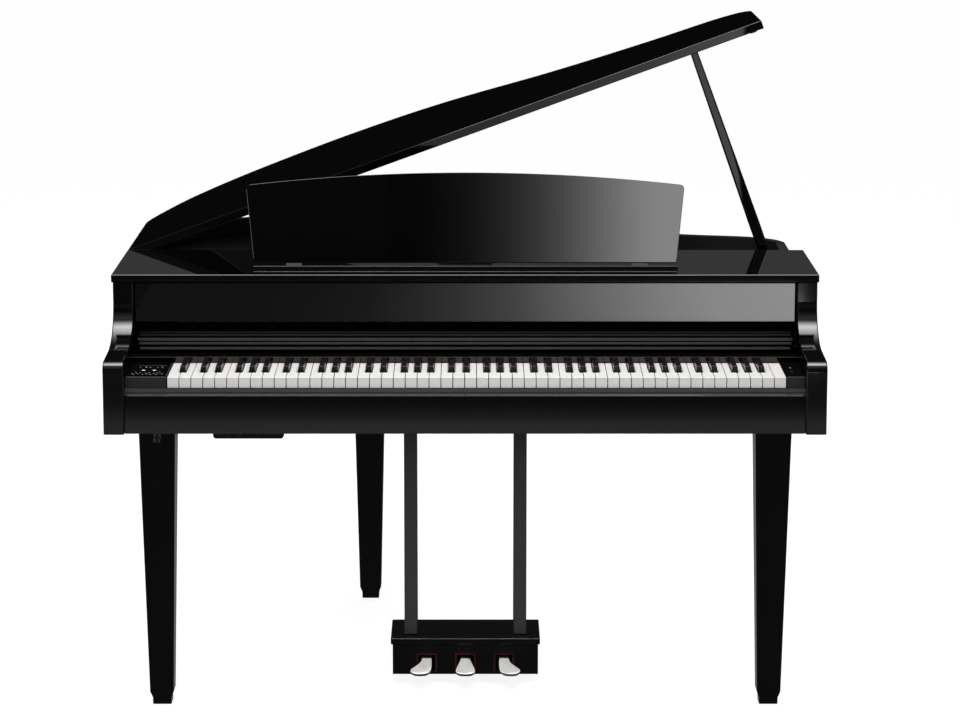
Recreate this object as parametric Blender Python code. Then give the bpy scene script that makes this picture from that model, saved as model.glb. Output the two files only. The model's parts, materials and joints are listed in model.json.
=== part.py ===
# Digital grand piano: cabinet, lid on its prop, folding key cover, keyboard, music desk, lyre and legs.
# Metres, +Z up, +X to the treble side, the player sits at -Y. Origin on the floor under the middle of the case.
import math

import bmesh
import bpy
from mathutils import Matrix, Vector

# cabinet
DEPTH = 1.226
CASE_BOTTOM = 0.618
SHELF_HEIGHT = 0.889
SHELF_THICKNESS = 0.016
SHELF_OVERHANG = 0.0025
SHELF_FRONT = 0.206
SHELF_REAR = 0.529
SEAM = 0.0003
BOARD = 0.022

# arms at the ends of the keyboard
ARM_THICKNESS = 0.041
ARM_NOSE = 0.7635
ARM_NOSE_RADIUS = 0.020
ARM_SWEEP_START = 0.100
ARM_RISE_DEPTH = 0.214
ARM_RISE_TOP = 0.848

# rim and lid
LID_THICKNESS = 0.018
LID_SIDE_PLAY = 0.0045
LID_EDGE_PLAY = 0.0005
LID_GAP = 0.002
LID_OPEN = 20.0
LID_REST = 0.887
RIM_TOP = 0.883
RIM_WALL = 0.020
RIM_INSET = 0.012
HINGE_BARREL = 0.003
HINGE_LEAF = 0.0012
HINGE_LENGTH = 0.340
HINGE_START = 0.030
HINGE_LEAF_WIDTH = 0.0235
HINGE_KNUCKLES = 5
INNER_PANEL_TOP = 0.850
INNER_PANEL = 0.008
BUMPER_RADIUS = 0.0075

# lid prop
PROP_INSET = 0.063
PROP_DEPTH = 0.575
PROP_PIVOT = 0.8625
PROP_FOOT_WIDTH = 0.022
PROP_TIP_WIDTH = 0.016
PROP_THICKNESS = 0.012
PROP_PIN = 0.003

# keyboard
WHITE_COUNT = 52
WHITE_PITCH = 0.0236
KEY_GAP = 0.001
KEY_TOP = 0.728
WHITE_HEIGHT = 0.021
WHITE_HEAD = 0.050
KEY_FRONT = 0.0305
KEY_PIVOT = 0.250
KEY_REAR = 0.285
SHARP_RISE = 0.012
SHARP_BASE = 0.0125
SHARP_CREST = 0.0095
SHARP_SLOPE = 0.007
SHARP_SET_BACK = 0.002
SHARP_REAR = 0.173
SHARP_SPREAD = 0.003
KEY_RAIL_WIDTH = 0.020
OCTAVE_FIRST = 23
OCTAVE_WHITES = 7

# key slip, key blocks and rails round the keys
SLIP_FRONT = 0.010
SLIP_TOP = 0.697
SLIP_LEDGE = 0.707
SLIP_REAR = 0.0285
LEFT_BLOCK_WIDTH = 0.0834
RIGHT_BLOCK_WIDTH = 0.0374
BLOCK_REAR = 0.178
BLOCK_TOP = 0.729
RAIL_FRONT = 0.180
RAIL_REAR = 0.209
RAIL_TOP = 0.7405
FELT_HEIGHT = 0.0024
FELT_DEPTH = 0.005

# folding key cover
COVER_PIVOT_DEPTH = 0.2365
COVER_PIVOT_HEIGHT = 0.752
COVER_HEIGHT = 0.135
COVER_FRONT = 0.008
COVER_BACK = 0.005
COVER_END_GAP = 0.0035
COVER_BOARD = 0.012
COVER_PIN = 0.003
COVER_PIN_REACH = 0.007
FLAP_HEIGHT = 0.081
FLAP_THICKNESS = 0.012
FOLD_GAP = 0.0008
RIB_COUNT = 3
RIB_PITCH = 0.0085
RIB_PROUD = 0.0035

# music desk
DESK_BOTTOM_WIDTH = 0.861
DESK_TOP_WIDTH = 0.897
DESK_SIDE_HEIGHT = 0.160
DESK_CROWN = 0.026
DESK_CORNER = 0.008
DESK_THICKNESS = 0.010
DESK_DEPTH = 0.250
DESK_HEIGHT = 0.923
DESK_LEAN = 17.0
LEDGE_FRONT = 0.212
LEDGE_LIP = 0.006
STAY_PIVOT = 0.060
STAY_WIDTH = 0.120
STAY_WIRE = 0.003
STAY_ANGLE = 40.0

# controls
PLATE_THICKNESS = 0.0015
PLATE_MARGIN = 0.006
BUTTON_RADIUS = 0.0042
BUTTON_PROUD = 0.0012
BUTTON_DEPTH = 0.0036
BUTTON_CLEARANCE = 0.0004
BUTTON_TRAVEL = 0.0012
BUTTON_POSITION = 0.090
BUTTON_A_INSET = 0.0312
BUTTON_SPACING = 0.0217
POWER_INSET = 0.0225
POWER_POSITION = 0.077
JACK_BOX_INSET = 0.169
JACK_BOX_WIDTH = 0.142
JACK_BOX_FRONT = 0.080
JACK_BOX_DEPTH = 0.090
JACK_BOX_DROP = 0.025
HOOK_INSET = 0.054
HOOK_DEPTH = 0.120
HOOK_WIRE = 0.0022
HOOK_SPREAD = 0.008
HOOK_DROP = 0.038

# legs and lyre
LEG_TOP = 0.076
LEG_BOTTOM = 0.049
FOOT_SIDE = 0.039
FOOT_HEIGHT = 0.014
FOOT_CHAMFER = 0.014
FRONT_LEG_INSET = 0.086
FRONT_LEG_DEPTH = 0.233
REAR_LEG_INSET = 0.156
REAR_LEG_SHIFT = 0.0133
POST_X = 0.115
POST_WIDTH = 0.027
POST_DEPTH = 0.090
POST_FRONT = 0.345
PEDAL_BOX_WIDTH = 0.306
PEDAL_BOX_FRONT = 0.320
PEDAL_BOX_DEPTH = 0.145
PEDAL_BOX_BOTTOM = 0.033
PEDAL_BOX_HEIGHT = 0.065
PEDAL_TOP_THICKNESS = 0.014
PEDAL_TOP_OVERHANG = 0.004
PEDAL_SPACING = 0.0815
PEDAL_FRONT_BOARD = 0.012
PEDAL_FELT = 0.0015
MOUTH_WIDTH = 0.042
MOUTH_HEIGHT = 0.040
MOUTH_SILL = 0.0045
FELT_RIM = 0.0035
PEDAL_TIP_DEPTH = 0.235
PEDAL_PIVOT_DEPTH = 0.440
PEDAL_PIVOT_HEIGHT = 0.064
PEDAL_TIP_WIDTH = 0.044
PEDAL_NECK_WIDTH = 0.020
PEDAL_THICKNESS = 0.008
PEDAL_DROP = 0.010
PEDAL_FLARE = 0.016

# sound and power
SPEAKER_RADIUS = 0.066
SPEAKER_HEIGHT = 0.062
SPEAKER_BASS_INSET = 0.315
SPEAKER_BASS_DEPTH = 0.265
SPEAKER_TREBLE_INSET = 0.465
SPEAKER_TREBLE_DEPTH = 0.225
CIRCUIT_WIDTH = 0.220
CIRCUIT_DEPTH = 0.140
CIRCUIT_BOARD = 0.004
CIRCUIT_INSET = 0.635
CIRCUIT_SET_BACK = 0.105
INLET_WIDTH = 0.050
INLET_DEPTH = 0.036
INLET_HEIGHT = 0.026
INLET_INSET = 0.315
INLET_SET_BACK = 0.065

FRONT_Y = -DEPTH / 2
KEYBOARD = WHITE_COUNT * WHITE_PITCH
WIDTH = KEYBOARD + LEFT_BLOCK_WIDTH + RIGHT_BLOCK_WIDTH + 2 * ARM_THICKNESS
SHELF_HALF = WIDTH / 2 + SHELF_OVERHANG
ARM_INNER = WIDTH / 2 - ARM_THICKNESS
BETWEEN_ARMS = ARM_INNER - SEAM
BED_TOP = CASE_BOTTOM + SEAM + BOARD
LID_FRONT = SHELF_REAR + LID_GAP
LID_REACH = DEPTH - LID_FRONT
RIM_FRONT = LID_FRONT + 2 * LID_GAP
HINGE_X = HINGE_BARREL - SHELF_HALF
LID_LEFT = HINGE_X + HINGE_BARREL + LID_EDGE_PLAY
LID_LENGTH = SHELF_HALF - LID_SIDE_PLAY - LID_LEFT
TAIL_PEAK = 0.334
PROP_X = LID_LEFT + LID_LENGTH - PROP_INSET
KEYS_LEFT = LEFT_BLOCK_WIDTH - ARM_INNER
KEYS_RIGHT = KEYS_LEFT + KEYBOARD
KEY_BOTTOM = KEY_TOP - WHITE_HEIGHT
BUTTON_A_X = BUTTON_A_INSET - ARM_INNER
BUTTON_B_X = BUTTON_A_X + BUTTON_SPACING
POWER_X = ARM_INNER - POWER_INSET


def at(depth):
    """Y of a plane that lies the given depth behind the front of the arms."""
    return FRONT_Y + depth


def material(name, colour, roughness, metallic=0.0):
    mat = bpy.data.materials.new(name)
    mat.use_nodes = True
    shader = mat.node_tree.nodes["Principled BSDF"]
    shader.inputs["Base Color"].default_value = (*colour, 1.0)
    shader.inputs["Roughness"].default_value = roughness
    shader.inputs["Metallic"].default_value = metallic
    mat.diffuse_color = (*colour, 1.0)
    return mat


def ebony():
    return material("polished_ebony", (0.006, 0.006, 0.007), 0.06)


def satin_black():
    return material("satin_black", (0.012, 0.012, 0.013), 0.35)


def ivory():
    return material("white_key", (0.86, 0.86, 0.84), 0.25)


def sharp_black():
    return material("black_key", (0.012, 0.012, 0.012), 0.40)


def red_felt():
    return material("red_felt", (0.23, 0.012, 0.018), 0.95)


def silver():
    return material("satin_silver", (0.66, 0.66, 0.66), 0.28, 1.0)


def black_steel():
    return material("black_steel", (0.02, 0.02, 0.02), 0.30, 1.0)


def black_rubber():
    return material("black_rubber", (0.015, 0.015, 0.015), 0.80)


def circuit_green():
    return material("circuit_board", (0.03, 0.10, 0.05), 0.55)


MATERIALS = {make.__name__: make for make in (
    ebony, satin_black, ivory, sharp_black, red_felt, silver, black_steel, black_rubber, circuit_green)}
made_materials = {}


def finish(name):
    if name not in made_materials:
        made_materials[name] = MATERIALS[name]()
    return made_materials[name]


def place(name, bm, mat, origin=(0, 0, 0)):
    """Turns a bmesh in world metres into an object whose origin is on its joint's axis."""
    bmesh.ops.recalc_face_normals(bm, faces=bm.faces)
    bmesh.ops.translate(bm, verts=bm.verts, vec=-Vector(origin))
    mesh = bpy.data.meshes.new(name)
    bm.to_mesh(mesh)
    bm.free()
    obj = bpy.data.objects.new(name, mesh)
    obj.location = origin
    bpy.context.scene.collection.objects.link(obj)
    if mat:
        mesh.materials.append(finish(mat))
    return obj


def prism_mesh(outline, axis, low, high):
    """Extrudes an outline along X, Y or Z; it is given as (y, z), (x, z) or (x, y)."""
    order = {"X": (2, 0, 1), "Y": (0, 2, 1), "Z": (0, 1, 2)}[axis]
    bm = bmesh.new()
    verts = []
    for first, second in outline:
        values = (first, second, low)
        verts.append(bm.verts.new(tuple(values[order[k]] for k in range(3))))
    face = bm.faces.new(verts)
    top = bmesh.ops.extrude_face_region(bm, geom=[face])
    moved = [v for v in top["geom"] if isinstance(v, bmesh.types.BMVert)]
    step = Vector((0, 0, 0))
    step["XYZ".index(axis)] = high - low
    bmesh.ops.translate(bm, verts=moved, vec=step)
    return bm


def prism(name, outline, axis, low, high, mat, origin=(0, 0, 0)):
    return place(name, prism_mesh(outline, axis, low, high), mat, origin)


def rectangle(a0, a1, b0, b1):
    return [(a0, b0), (a1, b0), (a1, b1), (a0, b1)]


def block(name, x, y, z, mat, origin=(0, 0, 0)):
    return prism(name, rectangle(*x, *y), "Z", z[0], z[1], mat, origin)


def rod_mesh(radius, length, axis, centre, sides=12):
    bm = bmesh.new()
    bmesh.ops.create_cone(bm, cap_ends=True, segments=sides, radius1=radius, radius2=radius, depth=length)
    turn = {"X": Matrix.Rotation(math.pi / 2, 3, "Y"), "Y": Matrix.Rotation(math.pi / 2, 3, "X"),
            "Z": Matrix.Identity(3)}[axis]
    bmesh.ops.rotate(bm, verts=bm.verts, cent=(0, 0, 0), matrix=turn)
    bmesh.ops.translate(bm, verts=bm.verts, vec=centre)
    return bm


def merge(target, source):
    """Adds the faces of one bmesh to another."""
    mesh = bpy.data.meshes.new("joined")
    source.to_mesh(mesh)
    source.free()
    target.from_mesh(mesh)
    bpy.data.meshes.remove(mesh)
    return target


def helper(name, bm, origin=(0, 0, 0)):
    obj = place(name, bm, None, origin)
    obj.hide_render = True
    obj.display_type = "WIRE"
    return obj


def boolean(obj, tool, operation):
    mod = obj.modifiers.new(tool.name, "BOOLEAN")
    mod.operation = operation
    mod.solver = "EXACT"
    mod.object = tool
    if operation == "UNION":
        mod.use_self = True


def cut(obj, name, bm):
    boolean(obj, helper("cutter_" + name, bm), "DIFFERENCE")


def join(obj, name, bm):
    boolean(obj, helper("guide_" + name, bm), "UNION")


def soften(obj, width, segments=1, angle=40):
    mod = obj.modifiers.new("edges", "BEVEL")
    mod.width = width
    mod.segments = segments
    mod.limit_method = "ANGLE"
    mod.angle_limit = math.radians(angle)


def smooth(obj, angle=35):
    obj.data.shade_smooth()
    obj.data.set_sharp_from_angle(angle=math.radians(angle))


def arc(centre, radius, start, end, steps):
    points = []
    for k in range(steps + 1):
        turn = math.radians(start + (end - start) * k / steps)
        points.append((centre[0] + radius * math.cos(turn), centre[1] + radius * math.sin(turn)))
    return points


def through(points, steps, before, after):
    """Smooth curve through the points; before and after set its direction at the two ends."""
    run = [Vector(before)] + [Vector(p) for p in points] + [Vector(after)]
    curve = []
    for p0, p1, p2, p3 in zip(run, run[1:], run[2:], run[3:]):
        for step in range(steps):
            t = step / steps
            a = 2 * p1 + (p2 - p0) * t
            b = (2 * p0 - 5 * p1 + 4 * p2 - p3) * t * t
            c = (3 * p1 - p0 - 3 * p2 + p3) * t ** 3
            curve.append(tuple((a + b + c) / 2))
    curve.append(tuple(points[-1]))
    return curve


def distance_to(point, start, end):
    """Distance in plan from a point to a straight run."""
    run = Vector(end) - Vector(start)
    share = (Vector(point) - Vector(start)).dot(run) / run.length_squared
    return (Vector(point) - Vector(start) - run * max(0.0, min(1.0, share))).length


def inset(points, distance):
    """Moves an open outline to its right-hand side, and drops what would fold over in a tight corner."""
    moved = []
    runs = list(zip(points, points[1:]))
    for k, point in enumerate(points):
        before = Vector(points[max(0, k - 1)])
        after = Vector(points[min(len(points) - 1, k + 1)])
        along = (after - before).normalized()
        inner = (point[0] + along.y * distance, point[1] - along.x * distance)
        if all(distance_to(inner, *run) > 0.97 * distance for run in runs):
            moved.append(inner)
    return moved


def closed_lid_outline():
    """Plan of the shut lid: straight bass side, round tail, waist and rounded treble corner, front edge open."""
    shares = [(0, 0.0), (0, 0.44), (0, 0.56), (0.022, 0.68), (0.076, 0.83), (0.176, 0.944), (TAIL_PEAK, 1.0),
              (0.496, 0.930), (0.683, 0.680), (0.834, 0.545), (0.940, 0.488), (0.982, 0.430), (0.998, 0.37),
              (1, 0.33), (1, 0.20), (1, 0)]
    points = [(LID_LEFT + u * LID_LENGTH, at(LID_FRONT + v * LID_REACH)) for u, v in shares]
    return [points[0]] + through(points[2:-2], 3, points[1], points[-2]) + [points[-1]]


def rim_outline(distance):
    """Plan of the rim at a distance inside the lid's edge, its ends trimmed to the rim's front."""
    outline = inset(closed_lid_outline(), distance)
    outline[0] = (outline[0][0], at(RIM_FRONT))
    outline[-1] = (outline[-1][0], at(RIM_FRONT))
    return outline


def arm_profile():
    """Side of an arm: rounded nose, flat top, concave sweep and riser up to the shelf."""
    rest = ARM_NOSE + 0.004
    nose = arc((ARM_NOSE_RADIUS, ARM_NOSE - ARM_NOSE_RADIUS), ARM_NOSE_RADIUS, 180, 90, 5)
    sweep_width = ARM_RISE_DEPTH - ARM_SWEEP_START
    sweep = [(ARM_SWEEP_START + sweep_width * math.sin(t), ARM_RISE_TOP - (ARM_RISE_TOP - rest) * math.cos(t))
             for t in (math.radians(15 * k) for k in range(7))]
    points = nose + sweep
    rear = RIM_FRONT - SEAM
    points += [(ARM_RISE_DEPTH, SHELF_HEIGHT - SEAM), (rear, SHELF_HEIGHT - SEAM)]
    points += [(rear, CASE_BOTTOM), (0, CASE_BOTTOM)]
    return [(at(y), z) for y, z in points]


def build_arms():
    for side, name in ((-1, "left_arm"), (1, "right_arm")):
        low, high = sorted((side * ARM_INNER, side * WIDTH / 2))
        arm = prism(name, arm_profile(), "X", low, high, "ebony")
        soften(arm, 0.0015, 1, 50)
        hole = rod_mesh(COVER_PIN + 0.0006, 2 * COVER_PIN_REACH + 0.001, "X",
                        (side * ARM_INNER, at(COVER_PIVOT_DEPTH), COVER_PIVOT_HEIGHT))
        cut(arm, "pivot_hole_" + name, hole)


def build_shelf():
    shelf = block("music_shelf", (-SHELF_HALF, SHELF_HALF), (at(SHELF_FRONT), at(SHELF_REAR)),
                  (SHELF_HEIGHT, SHELF_HEIGHT + SHELF_THICKNESS), "ebony")
    soften(shelf, 0.0012)


def build_key_bed():
    block("key_bed", (-BETWEEN_ARMS, BETWEEN_ARMS), (at(SLIP_REAR + SEAM), at(RIM_FRONT - SEAM)),
          (CASE_BOTTOM + SEAM, BED_TOP), "satin_black")


def build_key_slip():
    """Front board under the keys, with a moulded ledge on its top edge."""
    lip = SLIP_LEDGE - SLIP_TOP
    profile = [(SLIP_FRONT, CASE_BOTTOM + SEAM), (SLIP_FRONT, SLIP_TOP - 0.3 * lip), (SLIP_FRONT + 0.001, SLIP_TOP)]
    profile += [(SLIP_FRONT + 0.0035, SLIP_TOP + 0.001)]
    profile += arc((SLIP_FRONT + 0.012, SLIP_TOP + 0.0015), 0.0055, 180, 90, 3)
    profile += [(SLIP_REAR, SLIP_LEDGE), (SLIP_REAR, CASE_BOTTOM + SEAM)]
    prism("key_slip", [(at(y), z) for y, z in profile], "X", -BETWEEN_ARMS, BETWEEN_ARMS, "ebony")


def build_key_blocks():
    pocket_floor = BLOCK_TOP - BUTTON_DEPTH - BUTTON_TRAVEL
    left = block("left_key_block", (-BETWEEN_ARMS, KEYS_LEFT - KEY_GAP), (at(KEY_FRONT), at(BLOCK_REAR)),
                 (BED_TOP + SEAM, BLOCK_TOP), "ebony")
    right = block("right_key_block", (KEYS_RIGHT + KEY_GAP, BETWEEN_ARMS), (at(KEY_FRONT), at(BLOCK_REAR)),
                  (BED_TOP + SEAM, BLOCK_TOP + PLATE_THICKNESS), "ebony")
    ceiling = BLOCK_TOP + 2 * PLATE_THICKNESS
    depth = ceiling - pocket_floor
    middle = (ceiling + pocket_floor) / 2
    for owner, name, x, y in ((left, "a", BUTTON_A_X, BUTTON_POSITION), (left, "b", BUTTON_B_X, BUTTON_POSITION),
                              (right, "power", POWER_X, POWER_POSITION)):
        hole = rod_mesh(BUTTON_RADIUS + BUTTON_CLEARANCE, depth, "Z", (x, at(y), middle), 16)
        cut(owner, "pocket_" + name, hole)


def build_control_plate():
    plate = block("control_plate", (-BETWEEN_ARMS + PLATE_MARGIN, KEYS_LEFT - KEY_GAP - PLATE_MARGIN),
                  (at(KEY_FRONT + PLATE_MARGIN), at(BLOCK_REAR - PLATE_MARGIN)),
                  (BLOCK_TOP + SEAM, BLOCK_TOP + SEAM + PLATE_THICKNESS), "satin_black")
    for name, x in (("a", BUTTON_A_X), ("b", BUTTON_B_X)):
        hole = rod_mesh(BUTTON_RADIUS + BUTTON_CLEARANCE, 0.01, "Z", (x, at(BUTTON_POSITION), BLOCK_TOP), 16)
        cut(plate, "plate_hole_" + name, hole)


def build_buttons():
    bottom = BLOCK_TOP - BUTTON_DEPTH
    top = BLOCK_TOP + PLATE_THICKNESS + BUTTON_PROUD
    for name, x, depth in (("button_volume", BUTTON_A_X, BUTTON_POSITION),
                           ("button_voice", BUTTON_B_X, BUTTON_POSITION),
                           ("button_power", POWER_X, POWER_POSITION)):
        centre = (x, at(depth), (bottom + top) / 2)
        button = place(name, rod_mesh(BUTTON_RADIUS, top - bottom, "Z", centre, 16), "satin_black", centre)
        smooth(button)
        soften(button, 0.0004)


def has_sharp_above(white):
    """True where a sharp stands between this white key and the next one. The lowest key is an A."""
    return white < WHITE_COUNT - 1 and "ABCDEFG"[white % 7] in "ACDFG"


def sharp_centre(white):
    """Middle of the sharp above a white key: the outer sharps of each group stand a little further apart."""
    shift = {"C": -1, "D": 1, "F": -1, "G": 0, "A": 1}["ABCDEFG"[white % 7]]
    return KEYS_LEFT + (white + 1) * WHITE_PITCH + shift * SHARP_SPREAD


def white_outline(white, rear):
    """Plan of a white key: full-width head, and a tail cut back beside each neighbouring sharp."""
    left = KEYS_LEFT + white * WHITE_PITCH + KEY_GAP / 2
    right = left + WHITE_PITCH - KEY_GAP
    shoulder = at(KEY_FRONT + WHITE_HEAD)
    relief = SHARP_BASE / 2 + KEY_GAP
    points = [(left, at(KEY_FRONT)), (right, at(KEY_FRONT))]
    if has_sharp_above(white):
        waist = sharp_centre(white) - relief
        points += [(right, shoulder), (waist, shoulder), (waist, at(rear))]
    else:
        points.append((right, at(rear)))
    if white > 0 and has_sharp_above(white - 1):
        waist = sharp_centre(white - 1) + relief
        points += [(waist, at(rear)), (waist, shoulder), (left, shoulder)]
    else:
        points.append((left, at(rear)))
    return points


def white_mesh(white, bottom):
    return prism_mesh(white_outline(white, KEY_REAR), "Z", bottom, KEY_TOP)


def sharp_mesh(white, bottom, rear):
    """Loft of sections along a sharp: sloped nose, narrow crest, and a low tail that runs back under the rail."""
    centre = sharp_centre(white)
    nose = KEY_FRONT + WHITE_HEAD + SHARP_SET_BACK
    low = 0.0004
    stations = [(nose, low), (nose + SHARP_SLOPE, SHARP_RISE), (SHARP_REAR - 0.001, SHARP_RISE),
                (SHARP_REAR, low), (rear, low)]
    bm = bmesh.new()
    rings = []
    for depth, rise in stations:
        share = rise / SHARP_RISE
        crest = SHARP_BASE / 2 + (SHARP_CREST - SHARP_BASE) / 2 * share
        shoulder = KEY_TOP - low
        section = [(-SHARP_BASE / 2, bottom), (SHARP_BASE / 2, bottom), (SHARP_BASE / 2, shoulder),
                   (crest, shoulder + rise), (-crest, shoulder + rise), (-SHARP_BASE / 2, shoulder)]
        rings.append([bm.verts.new((centre + x, at(depth), z)) for x, z in section])
    for ring, after in zip(rings, rings[1:]):
        for k in range(len(ring)):
            n = (k + 1) % len(ring)
            bm.faces.new((ring[k], ring[n], after[n], after[k]))
    bm.faces.new(rings[0])
    bm.faces.new(rings[-1])
    return bm


def octave():
    return range(OCTAVE_FIRST, OCTAVE_FIRST + OCTAVE_WHITES)


def build_white_keys():
    """White keys outside the moving octave, on the rail that carries the whole keyboard's balance line."""
    rail_top = KEY_BOTTOM - SEAM
    bm = bmesh.new()
    for white in range(WHITE_COUNT):
        if white not in octave():
            merge(bm, white_mesh(white, rail_top - 0.0005))
    keys = place("white_keys", bm, "ivory")
    rail = prism_mesh(rectangle(KEYS_LEFT, KEYS_RIGHT, at(KEY_PIVOT), at(KEY_REAR + 0.002)), "Z",
                      BED_TOP + SEAM, rail_top)
    join(keys, "white_key_rail", rail)


def build_sharp_keys():
    rail_front = KEY_REAR + 0.004
    bm = bmesh.new()
    for white in range(WHITE_COUNT):
        if has_sharp_above(white) and white not in octave():
            merge(bm, sharp_mesh(white, KEY_BOTTOM, rail_front + KEY_RAIL_WIDTH / 2))
    keys = place("sharp_keys", bm, "sharp_black")
    rail = prism_mesh(rectangle(KEYS_LEFT, KEYS_RIGHT, at(rail_front), at(rail_front + KEY_RAIL_WIDTH)), "Z",
                      BED_TOP + SEAM, KEY_TOP - 0.002)
    join(keys, "sharp_key_rail", rail)


def build_octave():
    pivot = (0, at(KEY_PIVOT), KEY_BOTTOM)
    for white in octave():
        letter = "ABCDEFG"[white % 7].lower()
        place("key_" + letter, white_mesh(white, KEY_BOTTOM), "ivory", pivot)
        if has_sharp_above(white):
            place("key_" + letter + "_sharp", sharp_mesh(white, KEY_BOTTOM, KEY_REAR), "sharp_black", pivot)


def build_rails():
    block("felt_rail", (-BETWEEN_ARMS, BETWEEN_ARMS), (at(RAIL_FRONT), at(RAIL_REAR)),
          (KEY_TOP + 0.0012, RAIL_TOP), "ebony")
    block("key_felt", (KEYS_LEFT, KEYS_RIGHT), (at(RAIL_FRONT - SEAM - FELT_DEPTH), at(RAIL_FRONT - SEAM)),
          (KEY_TOP + 0.0008, KEY_TOP + 0.0008 + FELT_HEIGHT), "red_felt")
    behind = COVER_PIVOT_DEPTH + COVER_BOARD
    block("fallboard_back", (-BETWEEN_ARMS, BETWEEN_ARMS), (at(behind), at(behind + COVER_BOARD)),
          (COVER_PIVOT_HEIGHT - 0.0075, SHELF_HEIGHT - SEAM), "satin_black")


def build_key_cover():
    """Upright main board with rounded foot ribs; the flap folds down in front of it."""
    half = ARM_INNER - COVER_END_GAP
    y, z = at(COVER_PIVOT_DEPTH), COVER_PIVOT_HEIGHT
    profile = [(y + COVER_BACK, z - 0.004), (y + COVER_BACK, z + COVER_HEIGHT), (y - COVER_FRONT, z + COVER_HEIGHT)]
    for k in reversed(range(RIB_COUNT)):
        low = z + k * RIB_PITCH
        front = y - COVER_FRONT
        profile += [(front, low + 0.006), (front - RIB_PROUD, low + 0.0045), (front - RIB_PROUD, low + 0.0005)]
        profile += [(front, low - 0.0005)]
    profile += [(y - COVER_FRONT, z - 0.004)]
    cover = prism("key_cover", profile, "X", -half, half, "ebony", (0, y, z))
    for side, name in ((-1, "left"), (1, "right")):
        pin = rod_mesh(COVER_PIN, 2 * COVER_PIN_REACH, "X", (side * ARM_INNER, y, z))
        join(cover, "cover_pin_" + name, pin)
    fold = y - COVER_FRONT - FOLD_GAP / 2
    flap = block("key_cover_flap", (-half, half), (fold - FOLD_GAP / 2 - FLAP_THICKNESS, fold - FOLD_GAP / 2),
                 (z + COVER_HEIGHT - FLAP_HEIGHT, z + COVER_HEIGHT), "ebony", (0, fold, z + COVER_HEIGHT))
    soften(flap, 0.001)


def desk_outline():
    """Front view of the desk panel: sides that spread upwards, rounded corners and a crowned top edge."""
    rise = DESK_SIDE_HEIGHT
    half = DESK_TOP_WIDTH / 2
    crown = [(half * math.sin(t), rise + DESK_CROWN * (math.cos(t) - math.cos(math.radians(60)))
              / (1 - math.cos(math.radians(60))))
             for t in (math.radians(k) for k in range(55, -56, -10))]
    right = [(DESK_BOTTOM_WIDTH / 2, 0), (half, rise - DESK_CORNER)]
    right.append((half - DESK_CORNER * 0.3, rise + DESK_CORNER * 0.1))
    left = [(-x, z) for x, z in reversed(right)]
    crown = [(x / math.sin(math.radians(60)), z) for x, z in crown]
    return right + crown + left


def build_music_desk():
    y, z = at(DESK_DEPTH), DESK_HEIGHT
    outline = [(x, z + up) for x, up in desk_outline()]
    desk = prism("music_desk", outline, "Y", y, y + DESK_THICKNESS, "ebony", (0, y, z))
    desk.rotation_euler.x = -math.radians(DESK_LEAN)
    soften(desk, 0.0015, 1, 60)
    shelf_top = SHELF_HEIGHT + SHELF_THICKNESS
    rear = DESK_DEPTH - 0.0005
    ledge = [(LEDGE_FRONT, shelf_top + SEAM), (LEDGE_FRONT, DESK_HEIGHT - 0.001)]
    ledge += [(LEDGE_FRONT + LEDGE_LIP, DESK_HEIGHT - 0.001), (LEDGE_FRONT + LEDGE_LIP + 0.003, DESK_HEIGHT - 0.006)]
    ledge += [(rear, DESK_HEIGHT - 0.006), (rear, shelf_top + SEAM)]
    prism("desk_ledge", [(at(d), h) for d, h in ledge], "X", -DESK_BOTTOM_WIDTH / 2, DESK_BOTTOM_WIDTH / 2, "ebony")


def stay_geometry():
    """Pivot of the wire stay behind the leaning desk, and where its foot bar rests on the shelf."""
    lean = math.radians(DESK_LEAN)
    up = Vector((0, math.sin(lean), math.cos(lean)))
    back = Vector((0, math.cos(lean), -math.sin(lean)))
    pivot = Vector((0, at(DESK_DEPTH), DESK_HEIGHT)) + up * STAY_PIVOT
    pivot += back * (DESK_THICKNESS + STAY_WIRE + 0.0005)
    height = pivot.z - (SHELF_HEIGHT + SHELF_THICKNESS) - STAY_WIRE - SEAM
    foot = pivot + Vector((0, height * math.tan(math.radians(STAY_ANGLE)), -height))
    return pivot, foot


def wire(name, points, radius, mat, closed, origin):
    curve = bpy.data.curves.new(name, "CURVE")
    curve.dimensions = "3D"
    curve.bevel_depth = radius
    curve.bevel_resolution = 2
    curve.use_fill_caps = True
    spline = curve.splines.new("POLY")
    spline.points.add(len(points) - 1)
    for point, place_at in zip(spline.points, points):
        point.co = (*(Vector(place_at) - Vector(origin)), 1)
    spline.use_cyclic_u = closed
    obj = bpy.data.objects.new(name, curve)
    obj.location = origin
    bpy.context.scene.collection.objects.link(obj)
    curve.materials.append(finish(mat))
    return obj


def rounded_loop(corners, radius, steps=3):
    """Closed path through the corners of a flat loop, each corner turned on a small arc."""
    points = []
    count = len(corners)
    for k in range(count):
        corner = Vector(corners[k])
        back = (Vector(corners[k - 1]) - corner).normalized() * radius
        ahead = (Vector(corners[(k + 1) % count]) - corner).normalized() * radius
        for step in range(steps + 1):
            t = step / steps
            points.append(corner + back * (1 - t) ** 2 + ahead * t ** 2)
    return points


def build_desk_stay():
    pivot, foot = stay_geometry()
    side = Vector((STAY_WIDTH / 2, 0, 0))
    loop = rounded_loop([pivot - side, pivot + side, foot + side, foot - side], 0.010)
    wire("desk_stay", loop, STAY_WIRE, "black_steel", True, pivot)


def open_lid(obj):
    """Opens a piece that was modelled on the shut lid."""
    obj.rotation_euler.y = -math.radians(LID_OPEN)
    return obj


def lid_axis():
    return (HINGE_X, at(LID_FRONT), LID_REST)


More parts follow.
